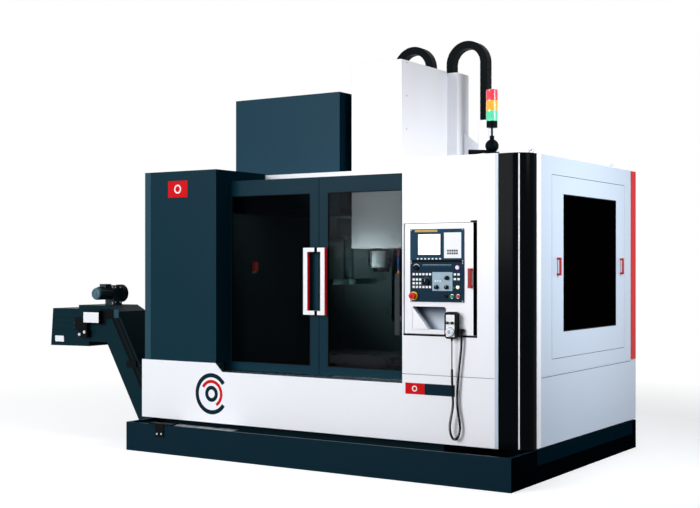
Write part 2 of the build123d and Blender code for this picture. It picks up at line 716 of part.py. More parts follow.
def head_cover():
    """Folded sheet around the head, open above and behind, with the ducts of both chains."""
    x0, x1 = SPINDLE_X - COVER_HALF, SPINDLE_X + COVER_HALF
    cover = block(x0, x1, COVER_FRONT, COVER_REAR, COVER_BOTTOM, COVER_TOP)
    cover -= block(x0 + SHEET, x1 - SHEET, COVER_FRONT + SHEET, COVER_REAR + 1, COVER_BOTTOM - 1, COVER_TOP + 1)
    cover += block(x0, x1, COVER_FRONT, COLUMN_FRONT - 90, COVER_BOTTOM, COVER_BOTTOM + SHEET)
    cover -= rod_z(
        SPINDLE_X, SPINDLE_Y, COVER_BOTTOM - 1, COVER_BOTTOM + SHEET + 1, CARTRIDGE_RADIUS + SHELL_GAP
    )
    lip = block(x0, x1, COVER_FRONT, COVER_REAR, COVER_TOP - SHEET, COVER_TOP)
    lip -= block(x0 + 5 * SHEET, x1 - 5 * SHEET, COVER_FRONT + 5 * SHEET, COVER_REAR + 1, 0, COVER_TOP + 1)
    cover += lip
    wide = (DUCT_RIGHT - DUCT_LEFT) / 2
    cover += chain_duct_shell(DUCT_LEFT + wide, wide, COVER_REAR, DUCT_REAR, DUCT_BOTTOM, DUCT_TOP)
    cover += chain_duct_shell(
        HEAD_CHAIN_X, duct_half(), COVER_REAR, CHAIN_FRONT + CHAIN_WIDTH + CHAIN_FIT + SHEET,
        DUCT_TOP - CHAIN_INSERT - 110, DUCT_TOP,
    )
    keep("head_cover", cover)


def cable_chain(x, left_bottom, right_bottom):
    """Cable chain bent into an upturned U, with a groove at each link joint."""
    half = CHAIN_THICK / 2
    outer = CHAIN_PITCH_RADIUS + half
    inner = CHAIN_PITCH_RADIUS - half
    centre_x = x + CHAIN_PITCH_RADIUS
    centre_z = CHAIN_APEX - outer
    y0, y1 = CHAIN_FRONT, CHAIN_FRONT + CHAIN_WIDTH
    arch = rod_y(centre_x, centre_z, y0, y1, outer) - rod_y(centre_x, centre_z, y0 - 1, y1 + 1, inner)
    arch -= block(centre_x - outer - 1, centre_x + outer + 1, y0 - 1, y1 + 1, centre_z - outer - 1, centre_z)
    chain = arch
    for leg_x, bottom in ((x, left_bottom), (x + 2 * CHAIN_PITCH_RADIUS, right_bottom)):
        chain += block(leg_x - half, leg_x + half, y0, y1, bottom, centre_z)
        z = bottom + CHAIN_PITCH
        while z < centre_z - CHAIN_PITCH / 2:
            for side in (-1, 1):
                edge = leg_x + side * half
                chain -= block(edge - CHAIN_GROOVE, edge + CHAIN_GROOVE, y0 - 1, y1 + 1, z - 2, z + 2)
            z += CHAIN_PITCH
    links = round(math.pi * CHAIN_PITCH_RADIUS / CHAIN_PITCH)
    for i in range(links + 1):
        turn = 180 * i / links
        for radius in (inner, outer):
            notch = Pos(radius, 0, 0) * Box(2 * CHAIN_GROOVE, CHAIN_WIDTH + 2, 4)
            chain -= Pos(centre_x, (y0 + y1) / 2, centre_z) * Rot(0, -turn, 0) * notch
    return chain


def cable_chains():
    """One chain feeds the head from the column's top, the other from the roof duct."""
    keep("head_chain", cable_chain(HEAD_CHAIN_X, DUCT_TOP - CHAIN_INSERT, TOP_DUCT_TOP - CHAIN_OVERLAP))
    keep("roof_chain", cable_chain(ROOF_CHAIN_X, DUCT_TOP - CHAIN_INSERT, ROOF_DUCT_TOP - CHAIN_OVERLAP))


def chain_ducts():
    """Fixed ducts that take the still ends of the chains, on the roof and on the column."""
    span = 2 * CHAIN_PITCH_RADIUS
    y1 = CHAIN_FRONT + CHAIN_WIDTH + CHAIN_FIT + SHEET
    half = duct_half() + 7
    x = ROOF_CHAIN_X + span
    roof_duct = chain_duct_shell(
        x, half, CHAIN_FRONT - CHAIN_FIT - SHEET, y1 + 7, ROOF_TOP, ROOF_DUCT_TOP
    )
    side = x - half
    gusset = prism_y(
        [
            (side, ROOF_TOP), (side, GUSSET_LOW), (side - GUSSET_FLAT, GUSSET_LOW),
            (side - GUSSET_REACH, GUSSET_HIGH), (side - GUSSET_REACH, ROOF_TOP),
        ],
        y1 + 4,
        y1 + 7,
    )
    roof_duct += gusset
    top_duct = chain_duct_shell(
        HEAD_CHAIN_X + span, duct_half(), CHAIN_FRONT - CHAIN_FIT - SHEET, y1, COLUMN_TOP, TOP_DUCT_TOP
    )
    keep("chain_duct", Compound([roof_duct, top_duct]))


def tool_magazine():
    """Magazine cover, its frame on the column, the disc of tool pots and the change arm."""
    cover = block(MAG_LEFT, MAG_RIGHT, MAG_FRONT, MAG_REAR, MAG_BOTTOM, MAG_TOP)
    cover -= block(
        MAG_LEFT + SHEET, MAG_RIGHT - SHEET, MAG_FRONT + SHEET, MAG_REAR - SHEET,
        MAG_BOTTOM + SHEET, MAG_TOP - SHEET,
    )
    disc_x = (MAG_LEFT + MAG_RIGHT) / 2
    cover -= rod_y(disc_x, DISC_Z, MAG_REAR - SHEET - 1, MAG_REAR + 1, AXLE_RADIUS + SHELL_GAP)
    pot_y = SPINDLE_Y
    exit_x = SPINDLE_X - 2 * ARM_RADIUS
    cover -= block(exit_x - 90, exit_x + 90, pot_y - 90, pot_y + 90, MAG_BOTTOM - 1, MAG_BOTTOM + SHEET + 1)
    keep("magazine_cover", cover)

    plate_rear = MAG_REAR + MAG_PLATE
    frame = block(MAG_LEFT + 40, MAG_RIGHT - 90, MAG_REAR, plate_rear, MAG_BOTTOM, MAG_TOP - 140)
    frame += rod_y(disc_x, DISC_Z, DISC_FRONT - 14, MAG_REAR, AXLE_RADIUS)
    frame += rod_y(disc_x, DISC_Z, DISC_FRONT - 14, DISC_FRONT - BUTTON_FIT, AXLE_RADIUS + 15)
    stay_left = SPINDLE_X - COLUMN_HALF - 185
    stay_rear = COLUMN_FRONT + MAG_STAY_REACH
    frame += block(
        stay_left, SPINDLE_X - COLUMN_HALF - 84, plate_rear, stay_rear, MAG_STAY_LOW, MAG_STAY_HIGH
    )
    frame += block(
        stay_left, SPINDLE_X - COLUMN_HALF, stay_rear - 30, stay_rear, MAG_STAY_LOW, MAG_STAY_HIGH
    )
    arm_x = SPINDLE_X - ARM_RADIUS
    gearbox_top = MAG_BOTTOM - 40
    frame += block(arm_x - 65, arm_x + 65, SPINDLE_Y - 70, MAG_REAR, gearbox_top - 130, gearbox_top)
    frame += block(arm_x - 90, arm_x + 65, MAG_REAR, plate_rear, gearbox_top - 140, MAG_BOTTOM + 20)
    frame -= rod_z(arm_x, SPINDLE_Y, gearbox_top - 131, gearbox_top - 30, ARM_SHAFT + STEM_FIT)
    keep("magazine_frame", frame)

    disc = rod_y(disc_x, DISC_Z, DISC_FRONT, DISC_FRONT + DISC_THICK, DISC_RADIUS)
    disc -= rod_y(disc_x, DISC_Z, DISC_FRONT - 1, DISC_FRONT + DISC_THICK + 1, AXLE_RADIUS + STEM_FIT)
    for i in range(POT_COUNT):
        angle = 2 * math.pi * (i + 0.5) / POT_COUNT
        x = disc_x + POT_CIRCLE * math.cos(angle)
        z = DISC_Z + POT_CIRCLE * math.sin(angle)
        pot = rod_y(x, z, DISC_FRONT - POT_LENGTH, DISC_FRONT, POT_RADIUS)
        pot -= rod_y(x, z, DISC_FRONT - POT_LENGTH - 1, DISC_FRONT - 30, POT_BORE)
        disc += pot
    keep("tool_disc", disc)

    z0, z1 = ARM_TOP - ARM_THICK, ARM_TOP
    arm = block(arm_x - ARM_HALF, arm_x + ARM_HALF, SPINDLE_Y - ARM_RADIUS, SPINDLE_Y + ARM_RADIUS, z0, z1)
    for side in (-1, 1):
        y = SPINDLE_Y + side * ARM_RADIUS
        arm += rod_z(arm_x, y, z0, z1, ARM_GRIP + 18)
        arm -= rod_z(arm_x, y, z0 - 1, z1 + 1, ARM_GRIP)
        arm -= block(
            min(arm_x, arm_x + side * 80), max(arm_x, arm_x + side * 80),
            y - ARM_GRIP + 4, y + ARM_GRIP - 4, z0 - 1, z1 + 1,
        )
    arm += rod_z(arm_x, SPINDLE_Y, z0, z1, ARM_HALF + 30)
    arm += rod_z(arm_x, SPINDLE_Y, z1, gearbox_top - 40, ARM_SHAFT)
    keep("tool_arm", arm)


def left_cabinet():
    """Dark front cabinet that the left door slides into, with the left side wall."""
    x0, x1 = CABINET_LEFT, OPENING_LEFT
    z0, z1 = CABINET_SILL_Z, PANEL_TOP - 1
    cabinet = block(x0, x1, FRONT_Y, FRONT_Y + SHEET, z0, z1)
    cabinet += block(x0, x1, FRONT_Y, ROOF_FRONT, z1 - SHEET, z1)
    cabinet += block(x1 - SHEET, x1, FRONT_Y, DOOR_FACE_Y - SHEET, z0, z1)
    cabinet += block(x1 - SHEET, x1, DOOR_FACE_Y - SHEET, ROOF_FRONT, DOOR_TOP + 6, z1)
    cabinet += block(x0, x0 + SHEET, FRONT_Y, REAR_Y, z0, z1)
    cabinet += block(x0, x0 + SHEET, FRONT_Y + FLANGE, REAR_Y, PANEL_BOTTOM, z0)
    cabinet -= block(
        x0 - 1, x0 + SHEET + 1, CONV_FRONT - BOX_GAP, CONV_FRONT + CONV_WIDTH + BOX_GAP, 0,
        incline_z(x0, CONV_DEEP) + 117,
    )
    keep("left_cabinet", cabinet)


def lower_front_panel():
    """White panel under the cabinet and the doors, folded back at its left edge."""
    sill = CABINET_SILL_Z
    low = LOW_PANEL_TOP
    step_x = OPENING_LEFT - 7
    panel = prism_y(
        [
            (LEFT_X, PANEL_BOTTOM), (LEFT_X, sill), (step_x, sill),
            (step_x + NOTCH_RUN, sill - NOTCH_RUN), (step_x + NOTCH_RUN + 4, low),
            (OPENING_RIGHT, low), (OPENING_RIGHT, PANEL_BOTTOM),
        ],
        FRONT_Y,
        FRONT_Y + SHEET,
    )
    panel += block(LEFT_X, LEFT_X + SHEET, FRONT_Y, CONV_FRONT - 10, PANEL_BOTTOM, sill)
    panel += block(LEFT_X, CABINET_LEFT, FRONT_Y, CONV_FRONT - 10, sill - SHEET, sill)
    panel += block(LEFT_X, OPENING_RIGHT, FRONT_Y, FRONT_Y + FLANGE, PANEL_BOTTOM, PANEL_BOTTOM + SHEET)
    keep("lower_front_panel", panel)


def door_guides():
    """Sill with the lower track and, behind the doors, the upper guide."""
    left = OPENING_LEFT - DOOR_TRAVEL - DOOR_OVERRUN
    right = OPENING_RIGHT + DOOR_TRAVEL + DOOR_OVERRUN
    track_y = FRONT_Y + FLANGE + 7
    sill = block(left, right, track_y, LINER_FRONT, SILL_TOP - SILL_THICK, SILL_TOP)
    sill += block(
        OPENING_LEFT, OPENING_RIGHT - BOX_GAP, FRONT_Y + SHEET, track_y, SILL_TOP - SILL_THICK, SILL_TOP
    )
    keep("door_sill", sill)
    back = DOOR_FACE_Y + DOOR_THICK + DOOR_SHOE_GAP
    header = block(
        CABINET_LEFT + SHEET, RIGHT_X - SHEET, back, LINER_FRONT, HEADER_BOTTOM, HEADER_TOP
    )
    keep("door_header", header)


def splash_liner():
    """Inner walls and floor plates that keep coolant in and lead chips to the conveyor."""
    left_wall = block(
        LINER_LEFT - SHEET, LINER_LEFT, LINER_FRONT, LINER_BACK, BED_TOP - SHEET, LINER_LEFT_TOP
    )
    left_wall -= block(
        MAG_LEFT, MAG_RIGHT, MAG_FRONT - SHELL_GAP, MAG_REAR + MAG_PLATE + SHELL_GAP,
        MAG_BOTTOM - SHELL_GAP, MAG_TOP,
    )
    right = RIGHT_X - 5 * SHEET - DOOR_SHOE_GAP
    back = block(
        LINER_LEFT - SHEET, right, LINER_BACK, LINER_BACK + SHEET, BED_TOP - SHEET, LINER_BACK_TOP
    )
    cover_half = COVER_HALF + COVER_ROOM - 1
    back += block(
        SPINDLE_X + cover_half, right, LINER_BACK, LINER_BACK + SHEET, BED_TOP, ROOF_TOP - SHEET
    )
    back -= block(
        SPINDLE_X - cover_half, SPINDLE_X + cover_half, LINER_BACK - 1,
        LINER_BACK + SHEET + 1, LINER_OPENING_Z, PANEL_TOP,
    )
    back -= block(
        SPINDLE_X - BED_HALF, SPINDLE_X + BED_HALF, LINER_BACK - 1, LINER_BACK + SHEET + 1, 0,
        BED_TOP + RAIL_HEIGHT + 60,
    )
    liner = left_wall + back
    for x0, x1 in ((LINER_LEFT - SHEET, SPINDLE_X - BED_HALF), (SPINDLE_X + BED_HALF, right)):
        liner += block(x0, x1, BED_FRONT, LINER_BACK + SHEET, BED_TOP - SHEET, BED_TOP)
        liner += block(x0, x1, BED_FRONT, BED_FRONT + SHEET, CONV_FLOOR + CONV_DEEP + 4 * SHEET, BED_TOP)
    keep("splash_liner", liner)


def roof_panel():
    """Flat roof with a beam at its front edge and openings for the head and the magazine."""
    z0 = ROOF_TOP - SHEET
    roof = block(CABINET_LEFT + SHEET, RIGHT_X - SHEET, ROOF_FRONT, REAR_Y - SHEET, z0, ROOF_TOP)
    roof += block(OPENING_RIGHT + SHEET, RIGHT_X - SHEET, COLUMN_REAR_Y, ROOF_FRONT, z0, ROOF_TOP)
    roof += block(
        OPENING_LEFT, OPENING_RIGHT + SHEET, ROOF_FRONT, ROOF_FRONT + ROOF_BEAM, ROOF_TOP - ROOF_BEAM, z0
    )
    roof -= block(
        MAG_LEFT - SHELL_GAP, MAG_RIGHT + SHELL_GAP, MAG_FRONT - SHELL_GAP,
        MAG_REAR + MAG_PLATE + SHELL_GAP, z0 - 1, ROOF_TOP + 1,
    )
    roof -= block(
        MAG_RIGHT, DUCT_RIGHT + 2 * SHEET, COVER_FRONT - COVER_ROOM, REAR_Y, z0 - 1, ROOF_TOP + 1
    )
    keep("roof_panel", roof)


def hinge_axis():
    """Plan position of the operator box's hinge pins."""
    return BOX_LEFT + 4 * SHEET, FRONT_Y + 4 * SHEET


def right_front_panel():
    """White panel right of the doors, with the opening and hinge pins of the operator box."""
    x0, x1 = OPENING_RIGHT, COLUMN_LEFT
    z1 = PANEL_TOP + 2
    panel = block(x0, x1, FRONT_Y, FRONT_Y + SHEET, PANEL_BOTTOM, z1)
    panel += block(x0, x0 + SHEET, FRONT_Y, FRONT_Y + FLANGE, PANEL_BOTTOM, z1)
    panel += block(x1 - SHEET, x1, FRONT_Y, FRONT_Y + FLANGE, PANEL_BOTTOM, z1)
    panel += block(x0, x1, FRONT_Y, FRONT_Y + TOP_FLANGE, z1 - SHEET, z1)
    panel += block(x0, x1, FRONT_Y, FRONT_Y + FLANGE, PANEL_BOTTOM, PANEL_BOTTOM + SHEET)
    cut_left, cut_right = BOX_LEFT - BOX_GAP, BOX_RIGHT + BOX_SWING_GAP
    cut_low, cut_high = BOX_BOTTOM - BOX_GAP, BOX_TOP + BOX_GAP
    panel -= block(cut_left, cut_right, FRONT_Y - 1, FRONT_Y + SHEET + 1, cut_low, cut_high)
    deep = FRONT_Y + BOX_DEPTH
    panel += block(cut_left, cut_right, FRONT_Y, deep, cut_high, cut_high + SHEET)
    panel += block(cut_left, cut_right, FRONT_Y, deep, cut_low - SHEET, cut_low)
    pin_x, pin_y = hinge_axis()
    panel += rod_z(pin_x, pin_y, cut_high - 24, cut_high + SHEET, 2 * SHEET)
    panel += rod_z(pin_x, pin_y, cut_low - SHEET, cut_low + 24, 2 * SHEET)
    seam = CABINET_SILL_Z + 4
    panel -= block(x0 - 1, x1 + 1, FRONT_Y - 1, FRONT_Y + 1.2, seam - 1.5, seam + 1.5)
    keep("right_front_panel", panel)


def corner_column():
    """Black rounded corner between the front and the side, with a groove down its curve."""
    r = COLUMN_ROUND
    outer = block(COLUMN_LEFT, RIGHT_X, FRONT_Y, COLUMN_REAR_Y, PANEL_BOTTOM, PANEL_TOP)
    corner = outer.edges().filter_by(Axis.Z).sort_by(lambda e: e.center().X - e.center().Y)[-1]
    outer = fillet(corner, r)
    wall = 2 * SHEET
    inner = block(
        COLUMN_LEFT + wall, RIGHT_X - wall, FRONT_Y + wall, COLUMN_REAR_Y + 1,
        PANEL_BOTTOM - 1, PANEL_TOP - SHEET,
    )
    inner_corner = inner.edges().filter_by(Axis.Z).sort_by(lambda e: e.center().X - e.center().Y)[-1]
    column = outer - fillet(inner_corner, r - wall)
    groove_angle = math.radians(25)
    cx, cy = RIGHT_X - r, FRONT_Y + r
    gx, gy = cx + r * math.sin(groove_angle), cy - r * math.cos(groove_angle)
    mid = (PANEL_BOTTOM + PANEL_TOP) / 2
    column -= Pos(gx, gy, mid) * Rot(0, 0, 25) * Box(9, 6, PANEL_TOP - PANEL_BOTTOM + 2)
    keep("corner_column", column)


def side_panel():
    """Right side wall with a seam, and a lipped opening for the hatch."""
    x0, x1 = RIGHT_X - SHEET, RIGHT_X
    panel = block(x0, x1, COLUMN_REAR_Y, REAR_Y, PANEL_BOTTOM, PANEL_TOP)
    lip_x = RIGHT_X - 4 * SHEET - DOOR_SHOE_GAP
    frame = block(
        lip_x - SHEET, x1, HATCH_FRONT - SHEET, HATCH_REAR + SHEET, HATCH_BOTTOM - SHEET, HATCH_TOP + SHEET
    )
    panel += frame
    panel -= block(lip_x, x1 + 1, HATCH_FRONT, HATCH_REAR, HATCH_BOTTOM, HATCH_TOP)
    lip = 8 * SHEET
    panel -= block(
        lip_x - SHEET - 1, x1 + 1, HATCH_FRONT + lip, HATCH_REAR - lip, HATCH_BOTTOM + lip, HATCH_TOP - lip
    )
    seam = CABINET_SILL_Z + 8
    panel -= block(x1 - 1.2, x1 + 1, COLUMN_REAR_Y - 1, REAR_Y + 1, seam - 1.5, seam + 1.5)
    keep("side_panel", panel)


def side_hatch():
    """Lift-off service hatch with its window and a grip at each side."""
    x0, x1 = RIGHT_X - 4 * SHEET, RIGHT_X
    gap = BOX_GAP
    hatch = block(x0, x1, HATCH_FRONT + gap, HATCH_REAR - gap, HATCH_BOTTOM + gap, HATCH_TOP - gap)
    hatch -= block(x0 - 1, x1 + 1, WINDOW_FRONT, WINDOW_REAR, WINDOW_BOTTOM, WINDOW_TOP)
    seat = GLASS_SEAT
    hatch -= block(
        x0 - 1, x0 + GLASS_THICK, WINDOW_FRONT - seat, WINDOW_REAR + seat,
        WINDOW_BOTTOM - seat, WINDOW_TOP + seat,
    )
    for y in (HATCH_GRIP_FRONT, HATCH_GRIP_REAR):
        z0, z1 = HATCH_GRIP_Z - HATCH_GRIP_LENGTH / 2, HATCH_GRIP_Z + HATCH_GRIP_LENGTH / 2
        grip = block(x1, x1 + 26, y - 9, y + 9, z0, z1)
        grip -= block(x1, x1 + 16, y - 10, y + 10, z0 + 14, z1 - 14)
        hatch += grip
    keep("hatch_frame", hatch)
    keep(
        "hatch_glass",
        block(
            x0, x0 + GLASS_THICK, WINDOW_FRONT - seat, WINDOW_REAR + seat,
            WINDOW_BOTTOM - seat, WINDOW_TOP + seat,
        ),
    )


def rear_panel():
    """Back wall either side of the column."""
    y0, y1 = REAR_Y - SHEET, REAR_Y
    top = ROOF_TOP - SHEET
    side = COLUMN_FOOT_HALF + 5
    low = BED_HALF + BOX_GAP
    plates = []
    for x0, x1 in ((CABINET_LEFT + SHEET, SPINDLE_X - side), (SPINDLE_X + side, RIGHT_X - SHEET)):
        plate = block(x0, x1, y0, y1, PANEL_BOTTOM, top)
        plate -= block(SPINDLE_X - low, SPINDLE_X + low, y0 - 1, y1 + 1, 0, BED_TOP + BOX_GAP)
        plates.append(plate)
    keep("rear_panel", Compound(plates))


def sliding_door(x0, x1, side):
    """Folded sheet door leaf with a window; the shoes under it run on the sill."""
    y0, y1 = DOOR_FACE_Y, DOOR_FACE_Y + DOOR_THICK
    wx0, wx1 = x0 + DOOR_STILE, x1 - DOOR_STILE
    wz0, wz1 = DOOR_BOTTOM + DOOR_BOTTOM_RAIL, DOOR_TOP - DOOR_TOP_RAIL
    seat = GLASS_SEAT
    door = block(x0, x1, y0, y1, DOOR_BOTTOM, DOOR_TOP)
    pocket = block(x0 + SHEET, x1 - SHEET, y0 + SHEET, y1 + 1, DOOR_BOTTOM + SHEET, DOOR_TOP - SHEET)
    pocket -= block(
        wx0 - seat - SHEET, wx1 + seat + SHEET, y0, y1 + 2, wz0 - seat - SHEET, wz1 + seat + SHEET
    )
    door -= pocket
    door -= block(wx0 - seat, wx1 + seat, y0 + SHEET, y1 + 1, wz0 - seat, wz1 + seat)
    door -= block(wx0, wx1, y0 - 1, y1 + 1, wz0, wz1)
    for x in (x0 + 60, x1 - 60):
        door += block(x - 30, x + 30, y0 + SHEET, y1 - SHEET, SILL_TOP + DOOR_SHOE_GAP, DOOR_BOTTOM)
    keep(side + "_door", door)
    keep(
        side + "_glass",
        block(wx0 - seat, wx1 + seat, y0 + SHEET, y0 + SHEET + GLASS_THICK, wz0 - seat, wz1 + seat),
    )


def door_handle(x_end, reach, direction, side):
    """C-shaped pull with its arms pointing at the meeting edge of the doors."""
    z0, z1 = HANDLE_MID_Z - HANDLE_LENGTH / 2, HANDLE_MID_Z + HANDLE_LENGTH / 2
    y1 = DOOR_FACE_Y - HANDLE_STANDOFF
    y0 = y1 - HANDLE_DEPTH
    x_bar = x_end + direction * reach
    handle = block(min(x_end, x_bar), max(x_end, x_bar), y0, y1, z0, z1)
    inner = x_bar - direction * HANDLE_BAR
    past = x_end - direction
    handle -= block(min(inner, past), max(inner, past), y0 - 1, y1 + 1, z0 + HANDLE_ARM, z1 - HANDLE_ARM)
    foot = x_end + direction * HANDLE_ARM
    for z in (z0, z1 - HANDLE_ARM):
        handle += block(min(x_end, foot), max(x_end, foot), y1, DOOR_FACE_Y, z, z + HANDLE_ARM)
    keep(side + "_handle", handle)


def doors():
    """Both leaves meet near the machine's centre line."""
    left_edge = DOOR_MEET_X - DOOR_GAP / 2
    right_edge = DOOR_MEET_X + DOOR_GAP / 2
    sliding_door(left_edge - DOOR_WIDTH, left_edge, "left")
    sliding_door(right_edge, right_edge + DOOR_WIDTH, "right")
    door_handle(left_edge, LEFT_HANDLE_REACH, -1, "left")
    door_handle(right_edge + RIGHT_HANDLE_INSET, RIGHT_HANDLE_REACH, 1, "right")


def operator_box():
    """Swinging housing of the controls, with a tool shelf, a grip and the pendant's holder."""
    y0, y1 = FRONT_Y, FRONT_Y + BOX_DEPTH
    body = block(BOX_LEFT, BOX_RIGHT, y0, y1, BOX_BOTTOM, BOX_TOP)
    corner = body.edges().filter_by(Axis.Z).sort_by(lambda e: e.center().X + e.center().Y)[0]
    body = fillet(corner, 4 * SHEET - 0.01)
    hollow = block(
        BOX_LEFT + 8 * SHEET, BOX_RIGHT - SHEET, y0 + SHEET, y1 - SHEET, BOX_BOTTOM + SHEET, BOX_TOP - SHEET
    )
    shelf_shell = block(
        SHELF_LEFT - SHEET, SHELF_RIGHT + SHEET, y0, y0 + SHELF_DEPTH + SHEET,
        SHELF_BOTTOM - SHEET, SHELF_TOP + SHEET,
    )
    body -= hollow - shelf_shell
    body -= block(SHELF_LEFT, SHELF_RIGHT, y0 - 1, y0 + SHELF_DEPTH, SHELF_BOTTOM, SHELF_TOP)
    body -= block(
        UNIT_LEFT + UNIT_RIM, UNIT_RIGHT - UNIT_RIM, y0 - 1, y0 + SHEET + 1,
        UNIT_BOTTOM + UNIT_RIM, UNIT_TOP - UNIT_RIM,
    )
    pin_x, pin_y = hinge_axis()
    for z0, z1 in ((BOX_BOTTOM - 1, BOX_BOTTOM + 22), (BOX_TOP - 22, BOX_TOP + 1)):
        body -= rod_z(pin_x, pin_y, z0, z1, 2 * SHEET + STEM_FIT)
    z0, z1 = GRIP_Z - GRIP_LENGTH / 2, GRIP_Z + GRIP_LENGTH / 2
    grip = block(GRIP_X, BOX_RIGHT - 4, y0 - 30, y0, z0, z1)
    grip -= block(GRIP_X - 1, BOX_RIGHT, y0 - 16, y0, z0 + 14, z1 - 14)
    body += grip
    holder_z = (PENDANT_TOP + PENDANT_BOTTOM) / 2
    body += block(PENDANT_X - 22, PENDANT_X + 22, y0 - PENDANT_STAND, y0, holder_z - 40, holder_z + 40)
    gland_y = CORD_Y + 10
    body += rod_y(GLAND_X, GLAND_Z + GLAND_RADIUS / 2, gland_y, y0, GLAND_RADIUS)
    body += rod_z(GLAND_X, gland_y, GLAND_Z - GLAND_LENGTH / 2, GLAND_Z + GLAND_LENGTH / 2, GLAND_RADIUS)
    keep("operator_box", body)


def control_unit():
    """Screen and keyboard unit in the upper half of the control panel."""
    y0, y1 = FRONT_Y - UNIT_PROUD, FRONT_Y
    unit = block(UNIT_LEFT, UNIT_RIGHT, y0, y1, UNIT_SPLIT, UNIT_TOP)
    unit += block(
        UNIT_LEFT + UNIT_RIM, UNIT_RIGHT - UNIT_RIM, y1, y1 + UNIT_DEPTH, UNIT_SPLIT, UNIT_TOP - UNIT_RIM
    )
    unit -= block(LCD_LEFT, LCD_RIGHT, y0 - 1, y0 + LCD_RECESS, LCD_BOTTOM, LCD_TOP)
    for row in range(KEY_ROWS):
        for column in range(KEY_COLUMNS):
            x = KEY_FIELD_LEFT + KEY_PITCH_X * column
            z = KEY_FIELD_BOTTOM + KEY_PITCH_Z * row
            unit += block(x, x + KEY_SIZE, y0 - KEY_PROUD, y0, z, z + KEY_SIZE)
    for i in range(SOFT_KEYS):
        x = (LCD_LEFT + LCD_RIGHT) / 2 + (i - (SOFT_KEYS - 1) / 2) * SOFT_KEY_PITCH
        unit += block(
            x - KEY_SIZE / 2, x + KEY_SIZE / 2, y0 - KEY_PROUD, y0,
            SOFT_KEY_Z - KEY_SIZE, SOFT_KEY_Z - KEY_SIZE / 4,
        )
    keep("cnc_unit", unit)


def pushed(x, z, radius, proud, travel, name):
    """Push button on a stem; the gap behind its head is its travel."""
    face = FRONT_Y - UNIT_PROUD
    head = rod_y(x, z, face - proud, face - travel - BUTTON_FIT, radius)
    head += rod_y(x, z, face - travel - BUTTON_FIT, face + STEM_DEPTH, STEM_RADIUS)
    keep(name, head)


def turned(x, z, name):
    """Selector knob with a pointer ridge, on a stem."""
    face = FRONT_Y - UNIT_PROUD
    knob = rod_y(x, z, face - KNOB_LENGTH, face - BUTTON_FIT, KNOB_RADIUS)
    half = RIDGE_WIDTH / 2
    knob += block(
        x - half, x + half, face - KNOB_LENGTH - RIDGE_HEIGHT, face - KNOB_LENGTH,
        z - KNOB_RADIUS / 2, z + KNOB_RADIUS - 1,
    )
    knob += rod_y(x, z, face - BUTTON_FIT, face + STEM_DEPTH, STEM_RADIUS)
    keep(name, knob)


def key_panel():
    """Lower control panel with fixed keys and dials, and bores for the moving controls."""
    y0, y1 = FRONT_Y - UNIT_PROUD, FRONT_Y
    key_y = y0 - KEY_PROUD
    half = BLOCK_KEY_HALF
    panel = block(UNIT_LEFT, UNIT_RIGHT, y0, y1, UNIT_BOTTOM, UNIT_SPLIT)
    panel += block(
        UNIT_LEFT + UNIT_RIM, UNIT_RIGHT - UNIT_RIM, y1, y1 + UNIT_DEPTH / 2,
        UNIT_BOTTOM + UNIT_RIM, UNIT_SPLIT,
    )
    for z, count in BLOCK_KEY_ROWS:
        for i in range(count):
            x = BLOCK_KEY_LEFT + BLOCK_KEY_PITCH * i
            panel += block(x, x + BLOCK_KEY_WIDTH, key_y, y0, z - half, z + half)
    for x in AXIS_KEYS_X:
        for z in AXIS_KEYS_Z:
            panel += block(x - half - 1, x + half + 1, key_y, y0, z - half, z + half)
    panel += block(
        DIAL_FIELD_LEFT, DIAL_FIELD_RIGHT, y0 - DIAL_PLATE, y0, DIAL_FIELD_BOTTOM, DIAL_FIELD_TOP
    )
    for place, radius, proud in (
        (KEY_LOCK, KNOB_RADIUS + 3, KNOB_LENGTH),
        (MODE_DIAL, KNOB_RADIUS + 9, KNOB_LENGTH),
        ((RAPID_DIAL_X, FEED_KNOB_Z), KNOB_RADIUS, KNOB_LENGTH),
        (LIGHT_BUTTON, BUTTON_RADIUS, BUTTON_PROUD),
        (POWER_LIGHT, KNOB_RADIUS, 2 * KEY_PROUD),
        ((RESET_X, BUTTON_Z), BUTTON_RADIUS, BUTTON_PROUD),
        ((ESTOP_X, ESTOP_Z), ESTOP_COLLAR, 2 * KEY_PROUD),
    ):
        panel += rod_y(*place, y0 - proud, y0, radius)
    knobs = ((SPINDLE_KNOB_X, SPINDLE_KNOB_Z), (FEED_KNOB_X, FEED_KNOB_Z))
    for place in knobs:
        panel -= rod_y(*place, y0 - DIAL_PLATE - 1, y0, KNOB_RADIUS + 1)
    buttons = ((ESTOP_X, ESTOP_Z), (START_X, BUTTON_Z), (STOP_X, BUTTON_Z))
    stem_room = y0 + STEM_DEPTH + ESTOP_TRAVEL + SHELL_GAP
    for place in knobs + buttons:
        panel -= rod_y(*place, y0 - STEM_DEPTH, stem_room, STEM_RADIUS + STEM_FIT)
    keep("key_panel", panel)
    turned(SPINDLE_KNOB_X, SPINDLE_KNOB_Z, "spindle_knob")
    turned(FEED_KNOB_X, FEED_KNOB_Z, "feed_knob")
    button_height = BUTTON_PROUD + BUTTON_TRAVEL
    pushed(START_X, BUTTON_Z, BUTTON_RADIUS, button_height, BUTTON_TRAVEL, "start_button")
    pushed(STOP_X, BUTTON_Z, BUTTON_RADIUS, button_height, BUTTON_TRAVEL, "stop_button")
    pushed(ESTOP_X, ESTOP_Z, ESTOP_RADIUS, ESTOP_HEIGHT, ESTOP_TRAVEL, "emergency_stop")


